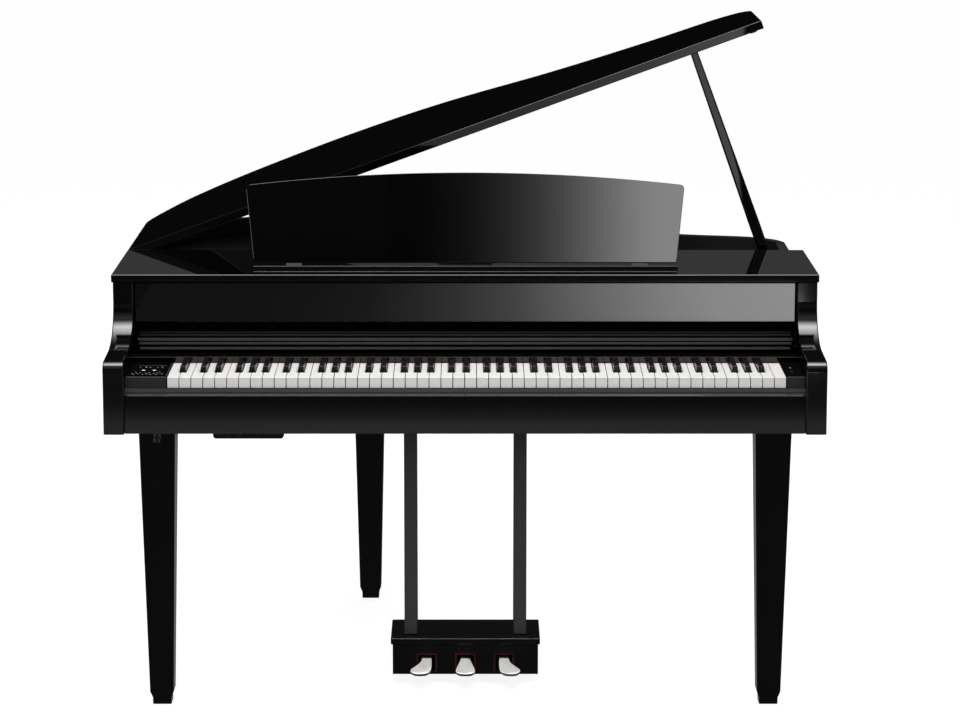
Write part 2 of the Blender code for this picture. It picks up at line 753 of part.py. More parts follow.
def build_lid():
    lid = prism("lid", closed_lid_outline(), "Z", LID_REST, LID_REST + LID_THICKNESS, "ebony", lid_axis())
    soften(open_lid(lid), 0.002, 2, 50)
    thick = LID_REST - RIM_TOP - 2 * SEAM
    bumper_at = (LID_LEFT + LID_LENGTH - RIM_INSET - RIM_WALL / 2, at(RIM_FRONT + 0.7 * RIM_WALL + BUMPER_RADIUS),
                 LID_REST - SEAM - thick / 2)
    bumper = place("lid_bumper", rod_mesh(BUMPER_RADIUS, thick, "Z", bumper_at, 16), "black_rubber", lid_axis())
    smooth(open_lid(bumper))


def hinge_part(first, clearance, leaf_low, leaf_high, tube):
    """Leaf and every second knuckle of the long lid hinge."""
    x, y, z = lid_axis()
    start = LID_FRONT + HINGE_START
    step = HINGE_LENGTH / HINGE_KNUCKLES
    plan = rectangle(LID_LEFT, LID_LEFT + HINGE_LEAF_WIDTH, at(start), at(start + HINGE_LENGTH))
    leaf = prism_mesh(plan, "Z", leaf_low, leaf_high)
    parts = []
    for k in range(first, HINGE_KNUCKLES, 2):
        low, high = at(start + k * step + clearance), at(start + (k + 1) * step - clearance)
        knuckle = rod_mesh(HINGE_BARREL, high - low, "Y", (x, (low + high) / 2, z), 12)
        web = HINGE_BARREL * (0.4 if tube else 0)
        arm = prism_mesh(rectangle(x + web, x + 2 * HINGE_BARREL, low, high), "Z", leaf_low, leaf_high)
        parts += [knuckle, arm]
    return leaf, parts


def build_lid_hinge():
    x, y, z = lid_axis()
    start = LID_FRONT + HINGE_START
    middle = at(start + HINGE_LENGTH / 2)
    low = RIM_TOP + SEAM
    leaf, parts = hinge_part(0, 0.0002, low, low + HINGE_LEAF, False)
    fixed = place("lid_hinge_rim_leaf", leaf, "black_steel")
    for k, part in enumerate(parts):
        join(fixed, f"rim_knuckle_{k}", part)
    join(fixed, "hinge_pin", rod_mesh(0.43 * HINGE_BARREL, HINGE_LENGTH, "Y", (x, middle, z), 8))
    leaf, parts = hinge_part(1, 0.0002, LID_REST - SEAM - HINGE_LEAF, LID_REST - SEAM, True)
    moving = place("lid_hinge_lid_leaf", leaf, "black_steel", lid_axis())
    for k, part in enumerate(parts):
        tool = helper(f"guide_lid_knuckle_{k}", part, lid_axis())
        open_lid(tool)
        boolean(moving, tool, "UNION")
    bore = rod_mesh(0.60 * HINGE_BARREL, HINGE_LENGTH, "Y", (x, middle, z), 8)
    bore = open_lid(helper("cutter_lid_knuckle_bore", bore, lid_axis()))
    boolean(moving, bore, "DIFFERENCE")
    open_lid(moving)


def build_rim():
    outer = rim_outline(RIM_INSET)
    inner = rim_outline(RIM_INSET + RIM_WALL)
    prism("rim", outer + inner[::-1], "Z", CASE_BOTTOM, RIM_TOP, "ebony")


def inner_shape():
    return rim_outline(RIM_INSET + RIM_WALL + SEAM)


def speakers():
    """Speaker names and their places, measured from the bass and the treble side of the lid."""
    left = LID_LEFT + SPEAKER_BASS_INSET
    right = LID_LEFT + LID_LENGTH - SPEAKER_TREBLE_INSET
    return (("speaker_left", (left, RIM_FRONT + SPEAKER_BASS_DEPTH)),
            ("speaker_right", (right, RIM_FRONT + SPEAKER_TREBLE_DEPTH)))


def build_floor_and_panel():
    floor = prism("bottom_board", inner_shape(), "Z", CASE_BOTTOM + SEAM, BED_TOP, "satin_black")
    for name, (x, depth) in speakers():
        hole = rod_mesh(SPEAKER_RADIUS * 0.86, 4 * BOARD, "Z", (x, at(depth), BED_TOP), 20)
        cut(floor, "sound_hole_" + name, hole)
    prism("inner_panel", inner_shape(), "Z", INNER_PANEL_TOP - INNER_PANEL, INNER_PANEL_TOP, "satin_black")


def turned(profile, centre, sides):
    """Revolves a closed (radius, height) profile that starts and ends on the axis."""
    bm = bmesh.new()
    verts = [bm.verts.new((radius, 0, height)) for radius, height in profile]
    edges = [bm.edges.new(pair) for pair in zip(verts, verts[1:])]
    bmesh.ops.spin(bm, geom=verts + edges, cent=(0, 0, 0), axis=(0, 0, 1), angle=2 * math.pi, steps=sides,
                   use_merge=True)
    bmesh.ops.remove_doubles(bm, verts=bm.verts, dist=0.00001)
    bmesh.ops.translate(bm, verts=bm.verts, vec=centre)
    return bm


def build_speakers():
    r, h = SPEAKER_RADIUS, SPEAKER_HEIGHT
    profile = [(0, 0.010), (0.3 * r, 0.010), (0.80 * r, 0), (r, 0), (r, 0.005), (0.9 * r, 0.006),
               (0.62 * r, 0.55 * h), (0.62 * r, h), (0, h)]
    for name, (x, depth) in speakers():
        unit = place(name, turned(profile, (x, at(depth), BED_TOP + SEAM), 20), "black_steel")
        smooth(unit)


def build_electronics():
    x, y = LID_LEFT + CIRCUIT_INSET, RIM_FRONT + CIRCUIT_SET_BACK
    w, d = CIRCUIT_WIDTH, CIRCUIT_DEPTH
    low = BED_TOP + SEAM
    top = low + CIRCUIT_BOARD
    board = block("main_board", (x - w / 2, x + w / 2), (at(y), at(y + d)), (low, top), "circuit_green")
    blocks = (("heat_sink", -0.30, 0.20, 0.20, 0.60, 0.14), ("transformer", 0.10, 0.15, 0.25, 0.35, 0.20),
              ("connectors", 0.10, 0.70, 0.30, 0.15, 0.065))
    for name, u, v, wide, deep, tall in blocks:
        left, front = x + u * w, y + v * d
        body = prism_mesh(rectangle(left, left + wide * w, at(front), at(front + deep * d)), "Z",
                          low + CIRCUIT_BOARD / 2, top + tall * w)
        join(board, name, body)


def build_power_inlet():
    """Mains inlet under the bottom board, its socket open to the rear."""
    x, y = LID_LEFT + INLET_INSET, RIM_FRONT + INLET_SET_BACK
    wide, deep, tall = INLET_WIDTH, INLET_DEPTH, INLET_HEIGHT
    top = CASE_BOTTOM
    inlet = block("power_inlet", (x - wide / 2, x + wide / 2), (at(y), at(y + deep)),
                  (top - tall, top), "satin_black")
    socket = rectangle(x - wide * 0.25, x + wide * 0.25, top - tall * 0.82, top - tall * 0.20)
    cut(inlet, "power_socket", prism_mesh(socket, "Y", at(y + deep * 0.45), at(y + 2 * deep)))


def prop_length():
    """Distance from the prop's pivot to the underside of the lid, square to the lid."""
    slope = math.radians(LID_OPEN)
    across, down = PROP_X - HINGE_X, LID_REST - PROP_PIVOT
    return across * math.sin(slope) + down * math.cos(slope) - SEAM


def build_prop():
    """Prop modelled upright on its pivot and then leaned until it stands square to the lid."""
    y = at(PROP_DEPTH)
    length = prop_length()
    foot, tip = PROP_FOOT_WIDTH / 2, PROP_TIP_WIDTH / 2
    outline = [(foot, 0), (foot * 1.05, length * 0.2), (tip, length - 0.004), (tip - 0.004, length)]
    outline += [(-x, z) for x, z in reversed(outline)]
    outline += arc((0, 0), foot, 210, 330, 4)
    outline = [(PROP_X + x, PROP_PIVOT + z) for x, z in outline]
    prop = prism("lid_prop", outline, "Y", y - PROP_THICKNESS / 2, y + PROP_THICKNESS / 2, "ebony",
                 (PROP_X, y, PROP_PIVOT))
    soften(prop, 0.002, 1, 50)
    cut(prop, "prop_pin_hole", rod_mesh(PROP_PIN + 0.0006, 0.05, "Y", (PROP_X, y, PROP_PIVOT), 12))
    prop.rotation_euler.y = -math.radians(LID_OPEN)
    low = INNER_PANEL_TOP + SEAM
    ear = PROP_THICKNESS / 2 + 0.0006
    base = block("prop_bracket", (PROP_X - 0.018, PROP_X + 0.018), (y - ear - 0.010, y - ear),
                 (low, low + 0.0022), "black_steel")
    for side, name in ((-1, "front"), (1, "rear")):
        inner, outer = sorted((y + side * ear, y + side * (ear + 0.003)))
        cheek = [(PROP_X - 0.012, low), (PROP_X + 0.012, low), (PROP_X + 0.012, PROP_PIVOT)]
        cheek += arc((PROP_X, PROP_PIVOT), 0.009, 30, 150, 4) + [(PROP_X - 0.012, PROP_PIVOT)]
        join(base, "bracket_cheek_" + name, prism_mesh(cheek, "Y", inner, outer))
    join(base, "prop_pin", rod_mesh(PROP_PIN, 2 * ear + 0.005, "Y", (PROP_X, y, PROP_PIVOT), 12))


def tapered_leg(name, x, depth):
    """Square tapered leg ending in a chamfer and a small foot block."""
    levels = [(0, FOOT_SIDE), (FOOT_HEIGHT, FOOT_SIDE), (FOOT_HEIGHT + FOOT_CHAMFER, LEG_BOTTOM),
              (CASE_BOTTOM, LEG_TOP)]
    bm = bmesh.new()
    rings = []
    for height, side in levels:
        half = side / 2
        rings.append([bm.verts.new((x + sx * half, at(depth) + sy * half, height))
                      for sx, sy in ((-1, -1), (1, -1), (1, 1), (-1, 1))])
    for ring, after in zip(rings, rings[1:]):
        for k in range(4):
            n = (k + 1) % 4
            bm.faces.new((ring[k], ring[n], after[n], after[k]))
    bm.faces.new(rings[0])
    bm.faces.new(rings[-1])
    leg = place(name, bm, "ebony")
    soften(leg, 0.0015, 1, 40)


def build_legs():
    side = WIDTH / 2 - FRONT_LEG_INSET
    tapered_leg("front_left_leg", -side, FRONT_LEG_DEPTH)
    tapered_leg("front_right_leg", side, FRONT_LEG_DEPTH)
    tapered_leg("rear_leg", LID_LEFT + TAIL_PEAK * LID_LENGTH + REAR_LEG_SHIFT, DEPTH - REAR_LEG_INSET)


def pedal_box_top():
    return PEDAL_BOX_BOTTOM + PEDAL_BOX_HEIGHT


def pedals():
    return (("left", -1), ("centre", 0), ("right", 1))


def build_lyre():
    plate_low = pedal_box_top() + SEAM
    plate_high = plate_low + PEDAL_TOP_THICKNESS
    half = PEDAL_BOX_WIDTH / 2
    for side, name in ((-1, "left_lyre_post"), (1, "right_lyre_post")):
        post = block(name, (side * POST_X - POST_WIDTH / 2, side * POST_X + POST_WIDTH / 2),
                     (at(POST_FRONT), at(POST_FRONT + POST_DEPTH)), (plate_high + SEAM, CASE_BOTTOM), "ebony")
        soften(post, 0.0015)
    plate = block("pedal_box_top", (-half - PEDAL_TOP_OVERHANG, half + PEDAL_TOP_OVERHANG),
                  (at(PEDAL_BOX_FRONT - PEDAL_TOP_OVERHANG), at(PEDAL_BOX_FRONT + PEDAL_BOX_DEPTH)),
                  (plate_low, plate_high), "ebony")
    soften(plate, 0.002, 2)
    front = PEDAL_BOX_FRONT + PEDAL_FRONT_BOARD + PEDAL_FELT + 2 * SEAM
    box = block("pedal_box", (-half, half), (at(front), at(PEDAL_BOX_FRONT + PEDAL_BOX_DEPTH)),
                (PEDAL_BOX_BOTTOM, pedal_box_top()), "ebony")
    board = block("pedal_front", (-half, half), (at(PEDAL_BOX_FRONT), at(PEDAL_BOX_FRONT + PEDAL_FRONT_BOARD)),
                  (PEDAL_BOX_BOTTOM, pedal_box_top()), "ebony")
    felt_front = PEDAL_BOX_FRONT + PEDAL_FRONT_BOARD + SEAM
    felt = block("pedal_felt", (-half + 0.01, half - 0.01), (at(felt_front), at(felt_front + PEDAL_FELT)),
                 (PEDAL_BOX_BOTTOM + 0.001, pedal_box_top() - 0.004), "red_felt")
    low, high = PEDAL_BOX_BOTTOM + MOUTH_SILL, PEDAL_BOX_BOTTOM + MOUTH_SILL + MOUTH_HEIGHT
    for name, side in pedals():
        x = side * PEDAL_SPACING
        wide = rectangle(x - MOUTH_WIDTH / 2, x + MOUTH_WIDTH / 2, low, high)
        slim_half = MOUTH_WIDTH / 2 - FELT_RIM
        slim = rectangle(x - slim_half, x + slim_half, low + 0.001, high - FELT_RIM)
        cut(board, "mouth_" + name, prism_mesh(wide, "Y", at(PEDAL_BOX_FRONT - 0.01), at(front)))
        cut(felt, "felt_mouth_" + name, prism_mesh(slim, "Y", at(PEDAL_BOX_FRONT), at(front + 0.01)))
        cut(box, "pocket_" + name, prism_mesh(wide, "Y", at(front - 0.01), at(PEDAL_PIVOT_DEPTH + 0.010)))


def pedal_section(share):
    """Half width, sideways flare and drop along a pedal, from its pivot (0) to its tip (1)."""
    spread = max(0.0, (share - 0.62) / 0.38)
    round_off = max(0.0, (share - 0.93) / 0.07)
    bulge = math.sin(spread * math.pi / 2)
    half = PEDAL_NECK_WIDTH / 2 + (PEDAL_TIP_WIDTH - PEDAL_NECK_WIDTH) / 2 * bulge
    half *= math.sqrt(max(0.0, 1 - (0.75 * round_off) ** 2))
    flare = PEDAL_FLARE * spread ** 1.5
    sink = max(0.0, (share - 0.50) / 0.50)
    drop = PEDAL_DROP * sink ** 1.5
    return half, flare, drop


def build_pedals():
    """Each lever is a loft from its cross pin in the box to the broad tip; the outer two flare outwards."""
    shares = [0, 0.3, 0.5, 0.62, 0.69, 0.76, 0.83, 0.89, 0.94, 0.98, 1.0]
    length = PEDAL_PIVOT_DEPTH - PEDAL_TIP_DEPTH
    z = PEDAL_PIVOT_HEIGHT
    for name, side in pedals():
        x = side * PEDAL_SPACING
        bm = bmesh.new()
        rings = []
        for share in shares:
            half, flare, drop = pedal_section(share)
            thick = PEDAL_THICKNESS / 2 * (1 - 0.25 * max(0.0, share - 0.6) / 0.4)
            edge = half * 0.82
            middle = z - drop
            section = [(-half, 0), (-edge, -thick), (edge, -thick), (half, 0), (edge, thick), (-edge, thick)]
            rings.append([bm.verts.new((x + side * flare + u, at(PEDAL_PIVOT_DEPTH - length * share), middle + v))
                          for u, v in section])
        for ring, after in zip(rings, rings[1:]):
            for k in range(len(ring)):
                n = (k + 1) % len(ring)
                bm.faces.new((ring[k], ring[n], after[n], after[k]))
        bm.faces.new(rings[0])
        bm.faces.new(rings[-1])
        pedal = place(name + "_pedal", bm, "silver", (x, at(PEDAL_PIVOT_DEPTH), z))
        smooth(pedal, 50)
        pin = rod_mesh(PEDAL_THICKNESS / 2 + 0.001, MOUTH_WIDTH - 0.0008, "X", (x, at(PEDAL_PIVOT_DEPTH), z), 12)
        join(pedal, "pedal_pin_" + name, pin)


def build_underside():
    low = CASE_BOTTOM - JACK_BOX_DROP
    corner = 0.006
    left = JACK_BOX_INSET - ARM_INNER
    right = left + JACK_BOX_WIDTH
    outline = [(left, CASE_BOTTOM)] + arc((left + corner, low + corner), corner, 180, 270, 3)
    outline += arc((right - corner, low + corner), corner, 270, 360, 3) + [(right, CASE_BOTTOM)]
    prism("headphone_box", outline, "Y", at(JACK_BOX_FRONT), at(JACK_BOX_FRONT + JACK_BOX_DEPTH), "satin_black")
    top = CASE_BOTTOM
    reach = 0.020
    bend = 0.010
    side = [(0, top), (0, top - HOOK_DROP + bend), (-0.003, top - HOOK_DROP + 0.003), (-bend, top - HOOK_DROP),
            (-reach + 0.003, top - HOOK_DROP + 0.003), (-reach, top - HOOK_DROP + bend)]
    y = at(HOOK_DEPTH)
    half = HOOK_SPREAD / 2
    x = HOOK_INSET - ARM_INNER
    path = [(x - half, y + d, h) for d, h in side] + [(x + half, y + d, h) for d, h in reversed(side)]
    wire("headphone_hook", path, HOOK_WIRE, "black_steel", False, (x, y, top))


def build():
    for obj in list(bpy.data.objects):
        bpy.data.objects.remove(obj, do_unlink=True)
    build_arms()
    build_shelf()
    build_key_bed()
    build_key_slip()
    build_key_blocks()
    build_control_plate()
    build_buttons()
    build_white_keys()
    build_sharp_keys()
    build_octave()
    build_rails()
    build_key_cover()
    build_music_desk()
    build_desk_stay()
    build_rim()
    build_floor_and_panel()
    build_lid()
    build_lid_hinge()
    build_prop()
    build_speakers()
    build_electronics()
    build_power_inlet()
    build_legs()
    build_lyre()
    build_pedals()
    build_underside()
    bpy.context.view_layer.update()


build()
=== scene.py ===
# Digital grand piano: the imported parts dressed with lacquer, ivory, felt and metal, in a white studio.
import json
import math

import bmesh
import bpy
from mathutils import Matrix, Vector


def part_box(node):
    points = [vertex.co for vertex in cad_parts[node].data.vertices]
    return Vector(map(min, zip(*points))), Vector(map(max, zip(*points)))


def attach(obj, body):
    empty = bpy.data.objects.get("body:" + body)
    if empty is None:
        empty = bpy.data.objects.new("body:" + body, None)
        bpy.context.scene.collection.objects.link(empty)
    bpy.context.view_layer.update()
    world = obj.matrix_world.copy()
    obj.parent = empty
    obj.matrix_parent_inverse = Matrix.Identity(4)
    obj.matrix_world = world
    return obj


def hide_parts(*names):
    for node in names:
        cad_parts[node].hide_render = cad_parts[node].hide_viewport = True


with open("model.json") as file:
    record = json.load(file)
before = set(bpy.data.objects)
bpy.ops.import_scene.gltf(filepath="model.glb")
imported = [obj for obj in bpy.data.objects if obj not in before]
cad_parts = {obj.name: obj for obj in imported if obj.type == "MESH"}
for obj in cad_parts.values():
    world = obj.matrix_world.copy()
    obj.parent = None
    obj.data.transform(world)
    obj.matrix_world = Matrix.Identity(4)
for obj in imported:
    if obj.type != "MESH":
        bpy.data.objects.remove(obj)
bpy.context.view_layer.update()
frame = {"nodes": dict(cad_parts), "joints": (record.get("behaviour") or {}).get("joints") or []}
nodes = frame["nodes"]
joints = {joint["name"]: joint for joint in frame["joints"]}
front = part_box("left_arm")[0].y
print("frame loaded:", len(nodes), "nodes")


class Wire:
    # a shader value; python operators on it add Math nodes
    def __init__(self, shading, socket):
        self.shading = shading
        self.socket = socket

    def maths(self, operation, first, second):
        return self.shading.add("ShaderNodeMath", {"operation": operation}, {0: first, 1: second})

    def __add__(self, other):
        return self.maths("ADD", self, other)

    def __sub__(self, other):
        return self.maths("SUBTRACT", self, other)

    def __rsub__(self, other):
        return self.maths("SUBTRACT", other, self)

    def __mul__(self, other):
        return self.maths("MULTIPLY", self, other)

    def __gt__(self, other):
        return self.maths("GREATER_THAN", self, other)

    def __lt__(self, other):
        return self.maths("LESS_THAN", self, other)

    __radd__ = __add__
    __rmul__ = __mul__


class Shading:
    # a tree of shader nodes; every node that it adds comes back as a Wire
    def __init__(self, tree, space):
        self.tree = tree
        self.place = self.add("ShaderNodeTexCoord", {}, {}, space)

    def add(self, kind, settings, values, out=0):
        node = self.tree.nodes.new(kind)
        for key, value in settings.items():
            if key == "stops":
                self.setStops(node.color_ramp, value)
            else:
                setattr(node, key, value)
        for socket, value in values.items():
            if isinstance(value, Wire):
                self.tree.links.new(value.socket, node.inputs[socket])
            else:
                node.inputs[socket].default_value = value
        return Wire(self, node.outputs[out])

    def setStops(self, ramp, stops):
        while len(ramp.elements) < len(stops):
            ramp.elements.new(1.0)
        for element, (position, tone) in zip(ramp.elements, stops):
            element.position, element.color = position, (tone, tone, tone, 1)

    def axes(self):
        # x, y and z of the place
        split = self.add("ShaderNodeSeparateXYZ", {}, {0: self.place}).socket.node
        return [Wire(self, socket) for socket in split.outputs]

    def noise(self, scale, detail=3.0, roughness=0.5, place=None):
        return self.add("ShaderNodeTexNoise", {}, {"Vector": place or self.place, "Scale": scale,
                                                   "Detail": detail, "Roughness": roughness}, "Fac")

    def ramp(self, value, stops):
        return self.add("ShaderNodeValToRGB", {"stops": stops}, {"Fac": value}, "Color")

    def between(self, value, low, high):
        # spreads a 0 to 1 value over a range
        return value * (high - low) + low

    def mix(self, factor, first, second):
        # two colours, each a wire or three channels
        ends = [end if isinstance(end, Wire) else (*end, 1) for end in (first, second)]
        return self.add("ShaderNodeMix", {"data_type": "RGBA"}, {0: factor, 6: ends[0], 7: ends[1]}, 2)

    def bump(self, height, distance):
        return self.add("ShaderNodeBump", {}, {"Height": height, "Distance": distance})


class Finish(Shading):
    # one material, grown from its Principled shader
    def __init__(self, name, constants):
        self.material = bpy.data.materials.new(name)
        self.material.use_nodes = True
        super().__init__(self.material.node_tree, "Object")
        self.shader = self.tree.nodes["Principled BSDF"]
        for socket, value in constants.items():
            self.shader.inputs[socket].default_value = value

    def feed(self, **wires):
        names = {"colour": "Base Color", "roughness": "Roughness", "normal": "Normal", "glow": "Emission Color"}
        for key, wire in wires.items():
            self.tree.links.new(wire.socket, self.shader.inputs[names[key]])
        return self.material


gloss = "Specular IOR Level"
# in the looks below a noise is its scale, detail and roughness, and relief is the depth of the bumps
ebonyLook = {
    "shader": {"Coat Weight": 1.0, "Coat IOR": 1.52, gloss: 0.0, "IOR": 1.5},
    "black": (0.001, 0.001, 0.0011), "haze": (0.0017, 0.0017, 0.0018), "rough": (0.16, 0.26),
    "cloud": (7.0, 4.0, 0.6), "swirl": (420.0, 2.0, 0.7), "peel": (85.0, 2.0, 0.4), "relief": 0.000006,
}


def polishedEbony(name, polish):
    # black polyester lacquer: a hard clear coat over a deep black, with a trace of orange peel
    look = ebonyLook
    lacquer = Finish(name, {**look["shader"], "Coat Roughness": polish})
    cloud, swirl, peel = (lacquer.noise(*look[key]) for key in ("cloud", "swirl", "peel"))
    return lacquer.feed(colour=lacquer.mix(cloud, look["black"], look["haze"]),
                        roughness=lacquer.between(cloud * 0.7 + swirl * 0.3, *look["rough"]),
                        normal=lacquer.bump(peel, look["relief"]))


def weathered(look):
    # a fine grain and often a broad cloud vary colour and roughness; the grain also gives the relief
    skin = Finish(look["name"], look["shader"])
    place = skin.place
    if "stretch" in look:
        place = skin.add("ShaderNodeMapping", {}, {"Vector": place, "Scale": look["stretch"]})
    grain = skin.noise(*look["grain"], place=place)
    hue = sheen = grain
    if "cloud" in look:
        cloud = skin.noise(*look["cloud"])
        hue, sheen = (grain if share == 1 else grain * share + cloud * (1 - share) for share in look["shares"])
    if "contrast" in look:
        hue = skin.ramp(grain, look["contrast"])
    colours = [[look.get("tone", 1.0) * channel for channel in colour] for colour in look["colours"]]
    wires = {"colour": skin.mix(hue, *colours), "roughness": skin.between(sheen, *look["rough"])}
    if "relief" in look:
        wires["normal"] = skin.bump(grain, look["relief"])
    return skin.feed(**wires)


# shares say how much of the grain is in colour and in roughness; the cloud makes up the rest
looks = {
    # sprayed satin paint on boards and mouldings that the eye seldom meets
    "satin": {"name": "satinBlack", "slot": "satin_black", "shader": {"IOR": 1.46, gloss: 0.25},
              "grain": (900.0, 2.0, 0.6), "cloud": (9.0, 3.0), "shares": (0.4, 0.5), "rough": (0.34, 0.52),
              "colours": ((0.004, 0.004, 0.0042), (0.0075, 0.0075, 0.0077)), "relief": 0.00003},
    # the same satin at about a third of its tone, for the pedal box front: painted shade
    "lowSatin": {"like": "satin", "name": "lowSatin", "shader": {"IOR": 1.46, gloss: 0.1},
                 "tone": 0.35},
    # lighter, evenly speckled satin coat
    "powder": {"name": "powderGrey", "slot": "satin_black", "shader": {"IOR": 1.46, gloss: 0.3},
               "grain": (1100.0, 3.0, 0.65), "colours": ((0.014, 0.014, 0.01428), (0.026, 0.026, 0.02652)),
               "rough": (0.42, 0.6), "relief": 0.00003},
    # a paler grey for thin rods, lips and the lower cover bars: painted highlight
    "paintedHighlight": {"like": "powder", "name": "paintedHighlightGrey",
                 "colours": ((0.045, 0.045, 0.0459), (0.075, 0.075, 0.0765))},
    # a mid grey for the key slip's top band: painted highlight
    "slipHighlight": {"like": "powder", "name": "slipHighlightGrey", "shader": {"IOR": 1.46, gloss: 0.03},
             "colours": ((0.017, 0.017, 0.01734), (0.029, 0.029, 0.02958))},
    # unlit dull cloth and paint inside recesses; on the cover board, the arm rests and the jack holes this near-black
    # is painted shade
    "pit": {"name": "clothBlackAndPaintedShade", "slot": "satin_black", "shader": {gloss: 0.02},
            "grain": (800.0, 2.0), "colours": ((0.0004, 0.0004, 0.0004), (0.0012, 0.0012, 0.0012)),
            "rough": (0.85, 1.0)},
    # moulded key tops with a faint lengthwise grain that keeps fingers from slipping
    "ivory": {"name": "ivoryWhite", "slot": "white_key", "shader": {"IOR": 1.49, gloss: 0.45},
              "grain": (220.0, 4.0, 0.65), "stretch": (5.0, 0.35, 5.0), "cloud": (14.0, 3.0), "shares": (0.5, 1),
              "colours": ((0.76, 0.752, 0.735), (0.7, 0.69, 0.668)), "rough": (0.24, 0.42), "relief": 0.000025},
    # dark sharps with a fine straight grain like oiled wood
    "sharp": {"name": "ebonyKey", "slot": "black_key", "shader": {"IOR": 1.5, gloss: 0.2},
              "grain": (260.0, 5.0, 0.7), "stretch": (7.0, 0.3, 7.0), "contrast": ((0.35, 0.0), (0.72, 1.0)),
              "colours": ((0.003, 0.003, 0.0031), (0.008, 0.0076, 0.0072)), "rough": (0.2, 0.34),
              "relief": 0.00004},
    # pressed wool: short tangled fibres, darker in the hollows
    "felt": {"name": "redFelt", "slot": "felt",
             "shader": {"Sheen Weight": 0.08, "Sheen Roughness": 0.45, gloss: 0.05},
             "grain": (1600.0, 4.0, 0.8), "cloud": (240.0, 3.0, 0.6), "shares": (0.6, 1),
             "colours": ((0.05, 0.005, 0.008), (0.125, 0.012, 0.018)), "rough": (0.85, 1.0), "relief": 0.0004},
    # the same felt at under a third of its tone, lining the pedal mouths: painted shade
    "mouth": {"like": "felt", "name": "shadedMouthFelt", "tone": 0.3},
    # plated levers, brushed along their length, and their shanks darker where they run into the mouths: painted shade
    "nickel": {"name": "satinNickel", "slot": "silver", "shader": {"Metallic": 0.12, gloss: 0.6},
               "grain": (330.0, 4.0, 0.7), "stretch": (8.0, 0.22, 8.0), "cloud": (34.0, 3.0), "shares": (0.5, 0.6),
               "colours": ((0.93, 0.92, 0.905), (0.8, 0.79, 0.775)), "rough": (0.2, 0.38), "relief": 0.00003},
    "neck": {"name": "shadedNeck", "slot": "silver", "shader": {"Metallic": 0.85}, "grain": (90.0, 4.0),
             "colours": ((0.03, 0.03, 0.031), (0.085, 0.085, 0.086)), "rough": (0.35, 0.5)},
    # black oxide on hinges and brackets, rubbed a little brighter in places, and paler on wire; that wire grey also
    # paints shade on the pedal spoons' sides and undersides
    "steel": {"name": "blackSteel", "slot": "steel", "shader": {"Metallic": 0.9}, "grain": (140.0, 4.0, 0.6),
              "contrast": ((0.55, 0.0), (0.78, 1.0)), "colours": ((0.016, 0.016, 0.016), (0.07, 0.07, 0.0686)),
              "rough": (0.26, 0.44), "relief": 0.00003},
    "wire": {"like": "steel", "name": "wireAndSpoonShade", "colours": ((0.1, 0.1, 0.1), (0.34, 0.34, 0.3332))},
    "rubber": {"name": "blackRubber", "slot": "rubber", "shader": {gloss: 0.3},
               "grain": (150.0, 3.0, 0.6), "colours": ((0.012, 0.012, 0.012), (0.03, 0.03, 0.029)),
               "rough": (0.72, 0.9), "relief": 0.0001},
    # pulp cone
    "paper": {"name": "speakerPaper", "slot": "satin_black", "shader": {gloss: 0.2},
              "grain": (700.0, 5.0, 0.75), "colours": ((0.016, 0.016, 0.015), (0.042, 0.041, 0.038)),
              "rough": (0.75, 0.95), "relief": 0.00015},
    # screen-printed legend dots
    "ink": {"name": "printWhite", "shader": {gloss: 0.2}, "grain": (2500.0, 3.0),
            "colours": ((0.6, 0.6, 0.6), (0.36, 0.36, 0.36)), "rough": (0.45, 0.65)},
}
looks = {finish: {**looks.get(look.get("like"), {}), **look} for finish, look in looks.items()}
circuitLook = {"lacquer": (0.012, 0.07, 0.03), "copper": (0.04, 0.15, 0.06), "rough": (0.3, 0.5),
               "runs": 26.0, "runWidth": 0.06, "fleck": (500.0, 2.0), "relief": 0.00005}


def circuitGreen():
    # lacquered board with copper runs under the lacquer
    look = circuitLook
    board = Finish("circuitGreen", {gloss: 0.5})
    runs = board.add("ShaderNodeTexBrick", {"offset": 0.5, "squash": 1.0},
                     {"Vector": board.place, "Scale": look["runs"], "Mortar Size": look["runWidth"]}, "Fac")
    return board.feed(colour=board.mix(runs, look["lacquer"], look["copper"]),
                      roughness=board.between(board.noise(*look["fleck"]), *look["rough"]),
                      normal=board.bump(runs, look["relief"]))


def softGlow(name, colour, strength):
    # small lamp behind a diffuser
    lamp = Finish(name, {"Emission Strength": strength, "Roughness": 0.4})
    tone = lamp.mix(lamp.noise(900.0, 2.0), colour, [channel * 0.8 for channel in colour])
    return lamp.feed(colour=tone, glow=tone)


finishes = {finish: weathered(look) for finish, look in looks.items()}
finishes.update({"ebony": polishedEbony("polishedEbony", 0.018), "arm": polishedEbony("armEbony", 0.06),
                 "circuit": circuitGreen(), "lamp": softGlow("powerLamp", (0.55, 0.62, 0.75), 0.6)})
slots = {finish: look["slot"] for finish, look in looks.items() if "slot" in look}
slots.update({"ebony": "lacquered_wood", "arm": "lacquered_wood", "circuit": "circuit"})
print("finishes mixed:", len(finishes))

# merging distances in metres, how nearly level faces are joined in degrees, weight of the large faces
making = {"seam": 0.000005, "level": 0.6, "weld": 0.000002, "pole": 0.00001, "flatness": 90}
turns = {"X": Matrix.Rotation(math.pi / 2, 3, "Y"), "Y": Matrix.Rotation(math.pi / 2, 3, "X"),
         "Z": Matrix.Identity(3)}


def at(depth):
    # Y of a plane that far behind the fronts of the arms
    return front + depth


def meshOf(name, bm):
    mesh = bpy.data.meshes.new(name)
    bm.to_mesh(mesh)
    bm.free()
    return mesh


def added(name, data):
    # a new object in the scene
    thing = bpy.data.objects.new(name, data)
    bpy.context.scene.collection.objects.link(thing)
    return thing


